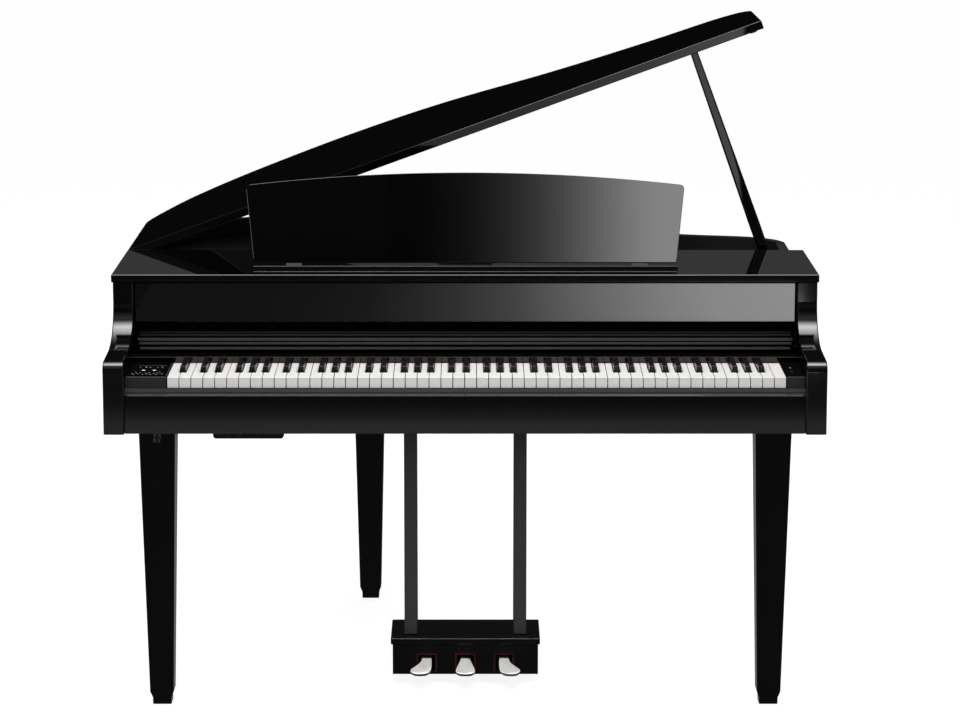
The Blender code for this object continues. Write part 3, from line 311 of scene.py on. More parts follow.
def gather(target, source):
    # adds one bmesh to another
    mesh = meshOf("gathered", source)
    target.from_mesh(mesh)
    bpy.data.meshes.remove(mesh)
    return target


def shift(bm, step, verts=None):
    bmesh.ops.translate(bm, verts=bm.verts if verts is None else verts, vec=step)


def facesOut(bm):
    bmesh.ops.recalc_face_normals(bm, faces=bm.faces)
    return bm


def newVerts(extruded):
    return [v for v in extruded["geom"] if isinstance(v, bmesh.types.BMVert)]


def thicken(bm, step):
    # extrudes every face of a flat shape by the step
    shift(bm, step, newVerts(bmesh.ops.extrude_face_region(bm, geom=bm.faces[:])))
    return facesOut(bm)


def raisePlan(bm, low, high):
    # turns a flat plan into a solid between two heights
    shift(bm, (0, 0, low))
    return thicken(bm, (0, 0, high - low))


def plate(outline, low, high):
    # a solid between two heights from the (x, y) corners of its plan
    bm = bmesh.new()
    bm.faces.new([bm.verts.new((*corner, 0)) for corner in outline])
    return raisePlan(bm, low, high)


def slab(x, y, z):
    # a box from its three ranges
    bm = bmesh.new()
    bmesh.ops.create_cube(bm, size=1.0)
    bmesh.ops.scale(bm, verts=bm.verts, vec=(x[1] - x[0], y[1] - y[0], z[1] - z[0]))
    shift(bm, ((x[0] + x[1]) / 2, (y[0] + y[1]) / 2, (z[0] + z[1]) / 2))
    return bm


def rod(radius, length, axis, centre, sides=32):
    bm = bmesh.new()
    bmesh.ops.create_cone(bm, cap_ends=True, segments=sides, radius1=radius, radius2=radius, depth=length)
    bmesh.ops.rotate(bm, verts=bm.verts, matrix=turns[axis])
    shift(bm, centre)
    return bm


def turned(profile, centre):
    # a profile of (radius, height) pairs spun about an upright axis
    bm = bmesh.new()
    run = [bm.verts.new((centre[0] + radius, centre[1], height)) for radius, height in profile]
    edges = [bm.edges.new(pair) for pair in zip(run, run[1:])]
    bmesh.ops.spin(bm, geom=run + edges, cent=centre, axis=(0, 0, 1), angle=2 * math.pi, steps=40, use_merge=True)
    bmesh.ops.remove_doubles(bm, verts=bm.verts, dist=making["pole"])
    return facesOut(bm)


def ringOf(radius, tube, centre, axis="Z"):
    # a torus: a small circle spun about the axis
    bm = bmesh.new()
    circle = bmesh.ops.create_circle(bm, segments=10, radius=tube)["verts"]
    bmesh.ops.rotate(bm, verts=circle, matrix=turns["Y"])
    shift(bm, (radius, 0, 0), circle)
    bmesh.ops.spin(bm, geom=bm.verts[:] + bm.edges[:], cent=(0, 0, 0), axis=(0, 0, 1), angle=2 * math.pi,
                   steps=36, use_merge=True)
    bmesh.ops.rotate(bm, verts=bm.verts, matrix=turns[axis])
    shift(bm, centre)
    return facesOut(bm)


def roundEdges(bm, width, segments=3, angle=30.0, chosen=None):
    # bevels the edges that are sharper than the angle, or the chosen ones
    limit = math.radians(angle)
    edges = [e for e in bm.edges if len(e.link_faces) == 2 and e.calc_face_angle(0) > limit
             and (chosen is None or chosen(e))]
    bmesh.ops.bevel(bm, geom=edges, offset=width, segments=segments, profile=0.5, affect="EDGES",
                    material=-1, clamp_overlap=True)
    return bm


def settle(name, bm, finish, replaced=(), body="case", turn=None, sharp=35.0, second=None):
    # makes the finished piece: in place, smooth where it is round, riding on its body
    bmesh.ops.remove_doubles(bm, verts=bm.verts, dist=making["weld"])
    if turn:
        bmesh.ops.transform(bm, matrix=turn, verts=bm.verts)
    mesh = meshOf(name, bm)
    mesh.shade_smooth()
    mesh.set_sharp_from_angle(angle=math.radians(sharp))
    piece = added(name, mesh)
    mesh.materials.append(finishes[finish])
    if second:
        mesh.materials.append(finishes[second[0]])
        for face in mesh.polygons:
            face.material_index = int(second[1](face))
    flatten = piece.modifiers.new("flatFacesFirst", "WEIGHTED_NORMAL")
    flatten.keep_sharp = True
    flatten.weight = making["flatness"]
    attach(piece, body)
    finish in slots
    if replaced:
        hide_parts(*replaced)


def fromNode(node):
    # a clean copy of a part's mesh: doubles merged, flat faces whole again
    bm = bmesh.new()
    bm.from_mesh(nodes[node].data)
    bmesh.ops.remove_doubles(bm, verts=bm.verts, dist=making["seam"])
    bmesh.ops.dissolve_limit(bm, angle_limit=math.radians(making["level"]), verts=bm.verts, edges=bm.edges)
    return bm


def refined(name, node, finish, width, segments=3, angle=30.0, body="case", second=None):
    # the part's own shape with its edges rounded
    settle(name, roundEdges(fromNode(node), width, segments, angle), finish, [node], body, second=second)


def keepPart(node, finish):
    # the part stays as it is and gets its finish
    part = nodes[node]
    part.data.materials.clear()
    part.data.materials.append(finishes[finish])


# parts that only get rounded edges: node, finish, width, segments, sharpness of the chosen edges in degrees, body
roundedParts = {
    "leftBlock": ("left_key_block", "pit", 0.0009), "rightBlock": ("right_key_block", "pit", 0.0009),
    "deskLedge": ("desk_ledge", "ebony", 0.0006, 2),
    "leftPost": ("left_lyre_post", "powder", 0.0022), "rightPost": ("right_lyre_post", "powder", 0.0022),
    "frontLeftLeg": ("front_left_leg", "ebony", 0.001, 2), "frontRightLeg": ("front_right_leg", "ebony", 0.001, 2),
    "rearLeg": ("rear_leg", "ebony", 0.001, 2), "pedalBox": ("pedal_box", "ebony", 0.0008, 2),
    # the pedal box front takes the shaded satin: painted shade
    "pedalBoxFront": ("pedal_front", "lowSatin", 0.0009, 2), "pedalBoxTop": ("pedal_box_top", "ebony", 0.0008, 2),
    "lidBumper": ("lid_bumper", "rubber", 0.0006, 3, 30, "lid"),
    "hingeRimLeaf": ("lid_hinge_rim_leaf", "steel", 0.00025, 2),
    "hingeLidLeaf": ("lid_hinge_lid_leaf", "steel", 0.00025, 2, 30, "lid"),
    "lidProp": ("lid_prop", "ebony", 0.0012, 3, 30, "lid_prop"), "propBracket": ("prop_bracket", "steel", 0.0005, 2),
    "deskStay": ("desk_stay", "steel", 0.0001, 1, 80, "desk_stay"),
    "headphoneHook": ("headphone_hook", "wire", 0.0001, 1, 80), "headphoneBox": ("headphone_box", "satin", 0.0012),
    "coverFlap": ("key_cover_flap", "ebony", 0.0008, 2, 30, "key_cover_flap"),
    "controlPlate": ("control_plate", "pit", 0.0004, 2), "powerInlet": ("power_inlet", "satin", 0.0006, 2),
    "leftSpeaker": ("speaker_left", "paper", 0.0004, 1, 50), "rightSpeaker": ("speaker_right", "paper", 0.0004, 1, 50),
}
for name, part in roundedParts.items():
    refined(name, *part)
for node in ("key_bed", "inner_panel", "bottom_board", "fallboard_back"):
    keepPart(node, "satin")
keepPart("main_board", "circuit")
print("parts rounded")


boards = {"shelfEdge": 0.0009, "shelfRoundAbove": 0.9, "slipEdge": 0.0004, "slipHighlightAbove": 0.6982}
# thin round lines along the boards, pale rods that are painted highlights: radius, length, centre
lines = {
    "slipBead": (0.0008, 1.335, (0, -0.6032, 0.6951)), "blockSideLip": (0.0005, 0.13, (-0.5928, -0.512, 0.7296)),
    "ledgeLip": (0.0008, 0.858, (0, -0.4006, 0.9214)), "ledgeBead": (0.0009, 0.858, (0, -0.4013, 0.9104)),
    "boxTopLip": (0.001, 0.31, (0, -0.2963, 0.1113)),
}


def highlightLine(name, line, axis="X"):
    # a pale rod along an edge: painted highlight
    radius, length, centre = line
    settle(name, rod(radius, length, axis, centre), "paintedHighlight")


settle("musicShelf", roundEdges(fromNode("music_shelf"), boards["shelfEdge"], 3, 30,
                                lambda e: min(v.co.z for v in e.verts) > boards["shelfRoundAbove"]),
       "ebony", ["music_shelf"])
# the top band of the key slip takes the paler grey: painted highlight where the light falls on it
refined("keySlip", "key_slip", "ebony", boards["slipEdge"], 2, 25,
        second=("slipHighlight", lambda face: face.center.z > boards["slipHighlightAbove"]))

blocks = {"left": (-0.6732, -0.5921), "right": (0.6381, 0.6732), "faceY": (-0.583, -0.5824),
          "faceZ": (0.6412, 0.7284), "faceEdge": 0.0002, "lip": 0.0007, "lipGap": 0.001, "lipAt": (-0.5826, 0.7288)}
# a thin pale rod along each block's front top edge, and one along the left block's side: painted highlights
for side in ("left", "right"):
    x = blocks[side]
    settle(side + "BlockFace", roundEdges(slab(x, blocks["faceY"], blocks["faceZ"]), blocks["faceEdge"], 2),
           "powder")
    highlightLine(side + "BlockLip", (blocks["lip"], x[1] - x[0] - blocks["lipGap"], (sum(x) / 2, *blocks["lipAt"])))
highlightLine("blockSideLip", lines["blockSideLip"], "Y")

rail = {"x": (-0.6735, 0.6735), "y": (-0.4318, -0.4042), "front": -0.4329, "z": (0.7294, 0.7403), "lip": 0.0008,
        "proud": 0.0002, "edge": 0.0003, "leatherRear": -0.3836, "leatherZ": (0.7302, 0.7398),
        "felt": ((-0.5905, 0.6365), (-0.4352, -0.433), (0.7289, 0.7302))}
railFront, railRear = rail["y"]
low, high = rail["z"]
settle("feltRail", slab(rail["x"], rail["y"], rail["z"]), "pit", ["felt_rail"])
settle("feltRailFace", slab(rail["x"], (rail["front"], railFront), (low, high - rail["lip"])), "ebony")
# the rail's lip in the pale highlight grey: painted highlight
settle("feltRailLip", roundEdges(slab(rail["x"], (rail["front"] - rail["proud"], railFront),
                                      (high - rail["lip"], high + rail["proud"])), rail["edge"], 2),
       "paintedHighlight")
settle("railLeather", slab(rail["x"], (railRear, rail["leatherRear"]), rail["leatherZ"]), "pit")
settle("keyFelt", roundEdges(slab(*rail["felt"]), rail["edge"], 2), "felt", ["key_felt"])

for name in ("slipBead", "ledgeLip", "ledgeBead", "boxTopLip"):
    highlightLine(name, lines[name])
pads = {"left": -0.348, "right": 0.355, "half": 0.016, "y": (-0.3955, -0.3665), "z": (0.9172, 0.9226), "edge": 0.0008}
for side in ("left", "right"):
    x = (pads[side] - pads["half"], pads[side] + pads["half"])
    settle(side + "LedgePad", roundEdges(slab(x, pads["y"], pads["z"]), pads["edge"], 2), "rubber")

# a narrow angle under the rear edge of the shelf, so that the key tails don't show from behind
tail = {"board": ((-0.6725, 0.6725), (-0.0895, -0.0855), (0.836, 0.8884)),
        "foot": ((-0.6725, 0.6725), (-0.0895, -0.079), (0.836, 0.841))}
settle("tailBoard", gather(slab(*tail["board"]), slab(*tail["foot"])), "satin")

mouths = {"wide": 0.0418, "top": 0.0774, "sill": 0.0376, "felt": 0.0026, "y": (-0.2934, -0.2794),
          "spacing": 0.0815, "edge": 0.0004}


def shadedMouthFelt():
    # a lining up both cheeks and over the top of each mouth
    bm = bmesh.new()
    half, thick, top = mouths["wide"] / 2, mouths["felt"], mouths["top"]
    for step in (-1, 0, 1):
        middle = step * mouths["spacing"]
        left, right = middle - half, middle + half
        for x in ((left, left + thick), (right - thick, right)):
            gather(bm, slab(x, mouths["y"], (mouths["sill"], top)))
        gather(bm, slab((left, right), mouths["y"], (top - thick, top)))
    return roundEdges(bm, mouths["edge"], 2, 60)


# the lining takes the darker mouth felt: painted shade inside the mouths
settle("shadedMouthFelt", shadedMouthFelt(), "mouth", ["pedal_felt"])
print("boards rounded")


armShape = {
    "nose": 0.7635, "noseRadius": 0.02, "noseSteps": 14, "rest": 0.7675, "shadedRestBelow": 0.78, "riseTop": 0.848,
    "sweepStart": 0.1, "riseDepth": 0.214, "sweepSteps": 20, "edge": 0.0022,
}


def armBoard(node):
    # its side: a quarter round at the nose and a quarter ellipse up the sweep, each spun from one point
    lo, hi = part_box(node)
    shape = armShape
    foot = at(shape["sweepStart"])
    bm = bmesh.new()
    start = bm.verts.new((lo.x, foot, shape["rest"]))
    width, rise = shape["riseDepth"] - shape["sweepStart"], shape["riseTop"] - shape["rest"]
    bmesh.ops.spin(bm, geom=[start], cent=(lo.x, foot, shape["rest"] + width), axis=(1, 0, 0), angle=math.pi / 2,
                   steps=shape["sweepSteps"])
    bmesh.ops.scale(bm, verts=bm.verts, vec=(1, 1, rise / width),
                    space=Matrix.Translation((-lo.x, -foot, -shape["rest"])))
    sweep = sorted(bm.verts, key=lambda v: v.co.z)
    tail = [(at(shape["riseDepth"]), hi.z), (hi.y, hi.z), (hi.y, lo.z), (lo.y, lo.z)]
    corners = [bm.verts.new((lo.x, y, z)) for y, z in tail]
    radius = shape["noseRadius"]
    centre = Vector((lo.x, lo.y + radius, shape["nose"] - radius))
    nose = bm.verts.new((lo.x, lo.y, centre.z))
    bmesh.ops.spin(bm, geom=[nose], cent=centre, axis=(1, 0, 0), angle=-math.pi / 2, steps=shape["noseSteps"])
    noseRun = sorted((v for v in bm.verts if v not in sweep and v not in corners), key=lambda v: v.co.z)
    for edge in list(bm.edges):
        bm.edges.remove(edge)
    bm.faces.new(sweep + corners + noseRun)
    return roundEdges(thicken(bm, (hi.x - lo.x, 0, 0)), shape["edge"], 4, 60)


# the flat rest on top of each arm takes the near-black pit finish: painted shade in place of its reflection
for side in ("left", "right"):
    settle(side + "Arm", armBoard(side + "_arm"), "arm", [side + "_arm"],
           second=("pit", lambda face: face.normal.z > 0.998 and face.center.z < armShape["shadedRestBelow"]))
print("arms shaped")


lidShape = {
    "left": -0.711, "length": 1.424, "front": 0.531, "reach": 0.695, "rest": 0.887, "thickness": 0.0177,
    "open": 20.0, "edge": 0.0016, "steps": 10,
    # outline from the bass front corner round the tail to the treble front corner, in shares of both sizes
    "shares": ((0, 0.0), (0, 0.44), (0, 0.56), (0.022, 0.68), (0.076, 0.83), (0.176, 0.944), (0.334, 1.0),
               (0.496, 0.93), (0.683, 0.68), (0.834, 0.545), (0.94, 0.488), (0.982, 0.43), (0.998, 0.37),
               (1, 0.33), (1, 0.2), (1, 0.0)),
}


def curveRun(points, steps, before, after):
    # edges of a smooth run through the points; those before and after it only steer its ends
    curve = bpy.data.curves.new("run", "CURVE")
    curve.dimensions = "3D"
    curve.resolution_u = steps
    run = curve.splines.new("BEZIER")
    run.bezier_points.add(len(points) - 1)
    whole = [before, *points, after]
    for k, knot in enumerate(run.bezier_points):
        pull = (whole[k + 2] - whole[k]) / 6
        knot.co, knot.handle_left, knot.handle_right = points[k], points[k] - pull, points[k] + pull
    thing = bpy.data.objects.new("run", curve)
    mesh = bpy.data.meshes.new_from_object(thing)
    bm = bmesh.new()
    bm.from_mesh(mesh)
    bpy.data.objects.remove(thing)
    bpy.data.curves.remove(curve)
    bpy.data.meshes.remove(mesh)
    return bm


def lidOutline(frontAt):
    # one smooth run through the outline's points, closed by a straight front edge
    shape = lidShape
    points = [Vector((shape["left"] + u * shape["length"], at(shape["front"] + v * shape["reach"]), 0))
              for u, v in shape["shares"]]
    points[0].y = points[-1].y = at(frontAt)
    bm = curveRun(points[1:-1], shape["steps"], points[0], points[-1])
    ends = [v for v in bm.verts if len(v.link_edges) == 1]
    ends.sort(key=lambda v: v.co.x)
    for vert in bm.verts:
        # the smooth run swells a little past the straight sides
        vert.co.x = min(max(vert.co.x, shape["left"]), shape["left"] + shape["length"])
    corners = [bm.verts.new((end.co.x, points[0].y, 0)) for end in ends]
    bm.edges.new((corners[0], ends[0]))
    bm.edges.new((ends[1], corners[1]))
    bm.edges.new((corners[1], corners[0]))
    bmesh.ops.contextual_create(bm, geom=bm.edges[:])
    facesOut(bm)
    if bm.faces[:][0].normal.z < 0:
        bmesh.ops.reverse_faces(bm, faces=bm.faces)
    return bm


def lidBoard():
    shape = lidShape
    bm = raisePlan(lidOutline(shape["front"]), shape["rest"], shape["rest"] + shape["thickness"])
    return roundEdges(bm, shape["edge"], 4, 60)


openTurn = Matrix.Rotation(-math.radians(lidShape["open"]), 4, "Y")
lidPivot = Vector(joints["lid_hinge"]["pos_m"])
lidTurn = Matrix.Translation(lidPivot) @ openTurn @ Matrix.Translation(-lidPivot)
settle("lidBoard", lidBoard(), "ebony", ["lid"], "lid", lidTurn)

rimShape = {"inset": 0.012, "wall": 0.02, "front": 0.535, "top": 0.883, "bottom": 0.618, "edge": 0.0016,
            "middle": (-0.3, 0.12)}


def rimBoard():
    # the lid's outline raised as a sheet, brought in and thickened inwards, open at the front
    shape = rimShape
    bm = lidOutline(shape["front"])
    opening = [e for e in bm.edges if all(abs(v.co.y - at(shape["front"])) < 0.0001 for v in e.verts)]
    bmesh.ops.delete(bm, geom=bm.faces[:], context="FACES_ONLY")
    bmesh.ops.delete(bm, geom=opening, context="EDGES")
    shift(bm, (0, 0, shape["bottom"]))
    raised = newVerts(bmesh.ops.extrude_edge_only(bm, edges=bm.edges[:]))
    shift(bm, (0, 0, shape["top"] - shape["bottom"]), raised)
    facesOut(bm)
    bm.normal_update()
    bass = min(bm.faces, key=lambda f: f.calc_center_median().x)
    if bass.normal.x > 0:
        bmesh.ops.reverse_faces(bm, faces=bm.faces)
        bm.normal_update()
    for vert, step in [(vert, -shape["inset"] * vert.normal) for vert in bm.verts]:
        vert.co += step
    bmesh.ops.solidify(bm, geom=bm.faces[:], thickness=shape["wall"])
    facesOut(bm)
    return roundEdges(bm, shape["edge"], 3, 60)


def looksIn(face):
    # a face of the rim that is turned towards the inside of the case
    x, y = rimShape["middle"]
    return abs(face.normal.z) < 0.5 and face.normal.dot(Vector((x, y, face.center.z)) - face.center) > 0


settle("rimWall", rimBoard(), "ebony", ["rim"], second=("powder", looksIn))
print("lid and rim shaped")


desk = {
    "bottom": 0.861, "top": 0.897, "rise": 0.16, "crown": 0.026, "corner": 0.0095, "cornerSteps": 6,
    "thick": 0.01, "lean": 17.0, "foot": (0, -0.363, 0.923), "edge": 0.0012, "steps": 24,
    # the bright line down each side, a pale rod that is a painted highlight: radius, how much shorter than the side,
    # how far behind the face
    "line": 0.0006, "lineGap": 0.018, "lineDepth": 0.0004,
}
deskPlace = Matrix.Translation(desk["foot"]) @ Matrix.Rotation(-math.radians(desk["lean"]), 4, "X")


def deskPanel():
    # sides that spread upwards, turned corners and a low arc between them, leaning back
    half, foot, rise, crown = desk["top"] / 2, desk["bottom"] / 2, desk["rise"], desk["crown"]
    radius = (half ** 2 + crown ** 2) / (2 * crown)
    bm = bmesh.new()
    start = bm.verts.new((half, 0, rise))
    bmesh.ops.spin(bm, geom=[start], cent=(0, 0, rise + crown - radius), axis=(0, -1, 0),
                   angle=2 * math.asin(half / radius), steps=desk["steps"])
    arc = sorted(bm.verts, key=lambda v: -v.co.x)
    for edge in list(bm.edges):
        bm.edges.remove(edge)
    bm.faces.new(arc + [bm.verts.new((x, 0, 0)) for x in (-foot, foot)])
    bmesh.ops.bevel(bm, geom=[arc[0], arc[-1]], offset=desk["corner"], segments=desk["cornerSteps"], profile=0.5,
                    affect="VERTICES", material=-1)
    roundEdges(thicken(bm, (0, desk["thick"], 0)), desk["edge"], 3, 60)
    bmesh.ops.transform(bm, matrix=deskPlace, verts=bm.verts)
    return bm


settle("deskPanel", deskPanel(), "ebony", ["music_desk"], "music_desk")
spread = (desk["top"] - desk["bottom"]) / 2
lineLength = math.hypot(spread, desk["rise"]) - desk["lineGap"]
for side, sign in (("left", -1), ("right", 1)):
    tilt = Matrix.Rotation(sign * math.atan2(spread, desk["rise"]), 4, "Y")
    middle = Matrix.Translation((sign * (desk["bottom"] / 2 + spread / 2 - desk["line"]), desk["lineDepth"],
                                 desk["rise"] / 2))
    settle(side + "DeskLine", rod(desk["line"], lineLength, "Z", (0, 0, 0)), "paintedHighlight",
           body="music_desk", turn=deskPlace @ middle @ tilt)
sockets = {"Left": -0.455, "Right": -0.413, "y": -0.5332, "z": 0.6045, "ring": 0.0052, "tube": 0.0008,
           "bore": 0.0034, "deep": 0.0006}
for tag in ("Left", "Right"):
    place = (sockets[tag], sockets["y"], sockets["z"])
    settle("jackRing" + tag, ringOf(sockets["ring"], sockets["tube"], place, "Y"), "wire")
    # a thin dark disc in each ring: painted shade for the hole
    settle("jackBore" + tag, rod(sockets["bore"], sockets["deep"], "Y", place, 24), "pit")
print("desk and fittings shaped")


cover = {
    "x": 0.6702, "y": (-0.3838, -0.3718), "z": (0.7482, 0.8868), "edge": 0.0006, "barEdge": 0.0009,
    "pin": 0.003, "pinLength": 0.0105, "pinAt": (-0.3765, 0.752), "shadedBarsAbove": 0.774,
    # each bar along the foot: middle height, thickness, how far it stands out, gap at its ends
    "bars": ((0.7828, 0.0022, 0.001, 0.006), (0.7773, 0.0044, 0.0014, 0.006), (0.7682, 0.0056, 0.004, 0.0022),
             (0.7602, 0.0046, 0.004, 0.003), (0.7498, 0.0046, 0.004, 0.006)),
}


def coverBars():
    # bars laid on the board's face, their upright front corners rounded away
    bm = bmesh.new()
    face = cover["y"][0]
    for middle, thick, proud, gap in cover["bars"]:
        reach = cover["x"] - gap
        bar = slab((-reach, reach), (face - proud, face), (middle - thick / 2, middle + thick / 2))
        ends = [e for e in bar.edges if abs(e.verts[0].co.z - e.verts[1].co.z) > 0.0001
                and min(v.co.y for v in e.verts) < face - proud / 2]
        bmesh.ops.bevel(bar, geom=ends, offset=proud * 0.95, segments=4, profile=0.5, affect="EDGES", material=-1,
                        clamp_overlap=True)
        gather(bm, roundEdges(bar, min(cover["barEdge"], thick * 0.3), 3, 50))
    return bm


# the board behind the bars takes the near-black pit finish: painted shade in the recess under the flap
coverBoard = roundEdges(slab((-cover["x"], cover["x"]), cover["y"], cover["z"]), cover["edge"], 2)
settle("coverBoard", coverBoard, "pit", ["key_cover"], "key_cover")
# the lower bars take the pale highlight grey and the upper ones, in the recess, the darker powder grey: painted light
# and shade
settle("coverBars", coverBars(), "paintedHighlight", body="key_cover",
       second=("powder", lambda face: face.center.z > cover["shadedBarsAbove"]))
for tag, end in (("Left", -1), ("Right", 1)):
    middle = end * (cover["x"] + cover["pinLength"] / 2)
    settle("coverPin" + tag, rod(cover["pin"], cover["pinLength"], "X", (middle, *cover["pinAt"])), "steel",
           body="key_cover")


keyboard = {
    "whites": 52, "pitch": 0.0236, "gap": 0.0013, "top": 0.728, "height": 0.021, "head": 0.05,
    "front": 0.0305, "rear": 0.285, "left": -0.5906,
    "cap": 0.0024, "lip": 0.0009, "sideStep": 0.00025, "capEdge": 0.0006,
    "sharpRise": 0.012, "sharpBase": 0.0125, "sharpCrest": 0.0095, "sharpSlope": 0.007, "sharpSetBack": 0.002,
    "sharpRear": 0.173, "sharpSpread": 0.003, "sharpEdge": 0.0017,
    # how far over the white keys an edge has to be to be rounded, and the octave that plays
    "above": 0.001, "octave": range(23, 30),
}


def letter(white):
    return "ABCDEFG"[white % 7]


def hasSharp(white):
    return 0 <= white < keyboard["whites"] - 1 and letter(white) in "ACDFG"


def sharpCentre(white):
    # sharps stand a little apart within their group of two or three
    aside = {"C": -1, "D": 1, "F": -1, "G": 0, "A": 1}[letter(white)]
    return keyboard["left"] + (white + 1) * keyboard["pitch"] + aside * keyboard["sharpSpread"]


def whitePlan(white, step, lip):
    # full-width head, tail cut back beside each neighbouring sharp
    size = keyboard
    left = size["left"] + white * size["pitch"] + size["gap"] / 2 + step
    right = left + size["pitch"] - size["gap"] - 2 * step
    shoulder = at(size["front"] + size["head"]) - step
    relief = size["sharpBase"] / 2 + size["gap"] + step
    near, far = at(size["front"] + lip), at(size["rear"])
    plan = [(left, near), (right, near)]
    if hasSharp(white):
        waist = sharpCentre(white) - relief
        plan += [(right, shoulder), (waist, shoulder), (waist, far)]
    else:
        plan.append((right, far))
    if hasSharp(white - 1):
        waist = sharpCentre(white - 1) + relief
        plan += [(waist, far), (waist, shoulder), (left, shoulder)]
    else:
        plan.append((left, far))
    return plan


def whiteKey(white):
    # a moulded cap with rounded edges over a slightly narrower wooden body
    size = keyboard
    seat = size["top"] - size["cap"]
    cap = roundEdges(plate(whitePlan(white, 0.0, 0.0), seat, size["top"]), size["capEdge"], 3)
    body = plate(whitePlan(white, size["sideStep"], size["lip"]), size["top"] - size["height"], seat)
    return gather(cap, body)


def sharpKey(white):
    # a block drawn in towards its crest, its nose sloped, every upper edge rounded
    size = keyboard
    centre = sharpCentre(white)
    near, far = at(size["front"] + size["head"] + size["sharpSetBack"]), at(size["sharpRear"])
    base, seat, half = size["top"] - size["height"], size["top"], size["sharpBase"] / 2
    bm = slab((centre - half, centre + half), (near, far), (base, seat))
    top = [f for f in bm.faces if f.normal.z > 0.5]
    verts = newVerts(bmesh.ops.extrude_face_region(bm, geom=top))
    bmesh.ops.delete(bm, geom=top, context="FACES")
    shift(bm, (0, 0, size["sharpRise"]), verts)
    bmesh.ops.scale(bm, verts=verts, vec=(size["sharpCrest"] / size["sharpBase"], 1, 1),
                    space=Matrix.Translation((-centre, 0, 0)))
    nose = [v for v in verts if v.co.y < (near + far) / 2]
    shift(bm, (0, size["sharpSlope"], 0), nose)

    def upper(edge):
        # wholly above the white keys, or rising from them at the nose
        heights = [v.co.z for v in edge.verts]
        atNose = all(abs(v.co.y - near) < size["sharpSlope"] + size["above"] for v in edge.verts)
        return min(heights) > seat + size["above"] or atNose and max(heights) > seat + size["above"]

    roundEdges(bm, size["sharpEdge"], 4, 20, upper)
    return gather(bm, slab((centre - half, centre + half), (far, at(size["rear"])), (base, seat)))


def keyRow(indices, maker):
    bm = bmesh.new()
    for white in indices:
        gather(bm, maker(white))
    return bm


fixedWhites = [w for w in range(keyboard["whites"]) if w not in keyboard["octave"]]
settle("whiteKeys", keyRow(fixedWhites, whiteKey), "ivory", ["white_keys"])
settle("sharpKeys", keyRow([w for w in fixedWhites if hasSharp(w)], sharpKey), "sharp", ["sharp_keys"])
for white in keyboard["octave"]:
    name = "key_" + letter(white).lower()
    settle("whiteKey" + letter(white), whiteKey(white), "ivory", [name], name)
    if hasSharp(white):
        name += "_sharp"
        settle("sharpKey" + letter(white), sharpKey(white), "sharp", [name], name)
print("keys cut:", keyboard["whites"], "white")


controls = {
    "cap": 0.0037, "foot": 0.7256, "crown": 0.7316, "ring": 0.0054, "ringTube": 0.0004, "deck": 0.7308,
    # the cap's dome: share of its radius, drop below the crown
    "dome": ((0, 0), (0.45, 0.00006), (0.75, 0.00025), (0.92, 0.0006), (1, 0.0012)),
    "lamp": (0.652, -0.497), "lampRadius": 0.0012, "lampHeight": 0.0008,
    "line": ((-0.656, -0.5995), (-0.4768, -0.4752), (0.7302, 0.7313)), "lineEdge": 0.0003,
    # printed legends on the plate: half width, half depth and height of each, and their places
    "mark": (0.0013, 0.0011, 0.00012),
    "marks": ((-0.6516, -0.495), (-0.6397, -0.495), (-0.6317, -0.494), (-0.617, -0.495), (-0.609, -0.489),
              (-0.657, -0.54), (-0.6505, -0.559), (-0.6406, -0.565), (-0.629, -0.547), (-0.614, -0.565),
              (-0.6088, -0.54), (-0.603, -0.559), (-0.6617, -0.559), (-0.654, -0.551), (-0.647, -0.549),
              (-0.6355, -0.553), (-0.6325, -0.56), (-0.619, -0.556), (-0.612, -0.551), (-0.6062, -0.497),
              (-0.625, -0.567), (-0.658, -0.566), (-0.64, -0.486)),
}


def buttonCap(centre):
    # a low dome on a straight skirt
    cap, foot = controls["cap"], controls["foot"]
    dome = [(cap * share, controls["crown"] - drop) for share, drop in controls["dome"]]
    return turned(dome + [(cap, foot), (0, foot)], centre)


# a pale strip along the plate's rear edge: painted highlight
settle("plateHighlight", roundEdges(slab(*controls["line"]), controls["lineEdge"], 2), "paintedHighlight")
marks = bmesh.new()
deck = controls["deck"]
wide, deep, raised = controls["mark"]
for x, y in controls["marks"]:
    gather(marks, slab((x - wide, x + wide), (y - deep, y + deep), (deck, deck + raised)))
settle("plateLegends", marks, "ink")
for name in ("volume", "voice", "power"):
    node = "button_" + name
    lo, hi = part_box(node)
    middle = ((lo.x + hi.x) / 2, (lo.y + hi.y) / 2)
    settle(name + "Button", buttonCap((*middle, 0)), "satin" if name == "power" else "nickel", [node], node)
    settle(name + "Ring", ringOf(controls["ring"], controls["ringTube"], (*middle, deck)), "steel")
settle("powerLamp", rod(controls["lampRadius"], controls["lampHeight"], "Z", (*controls["lamp"], deck)), "lamp")

lever = {
    "spacing": 0.0815, "top": 0.0688, "thick": 0.0074, "mouth": -0.293, "slope": 0.105, "edge": 0.0026,
    "lead": (0, 0.02, 0), "shadedSideBelow": 0.3,
    # the shank: half width, where it ends, how far it laps the spoon, how much thinner it is
    "neck": 0.01, "neckRear": -0.17, "neckLap": 0.002, "neckInset": 0.0004, "neckEdge": 0.0016,
    # half of the middle spoon and all of an outer one, from the neck round the tip, relative to the neck's middle
    "spoon": ((0.01, -0.293), (0.0128, -0.312), (0.017, -0.336), (0.0198, -0.354), (0.0188, -0.368),
              (0.011, -0.3762), (0.0, -0.3776)),
    "flared": ((0.0104, -0.293), (0.011, -0.318), (0.0106, -0.342), (0.0078, -0.362), (0.001, -0.3735),
               (-0.012, -0.3774), (-0.025, -0.3745), (-0.0324, -0.364), (-0.0318, -0.352), (-0.024, -0.338),
               (-0.016, -0.322), (-0.0112, -0.306), (-0.0104, -0.293)),
}


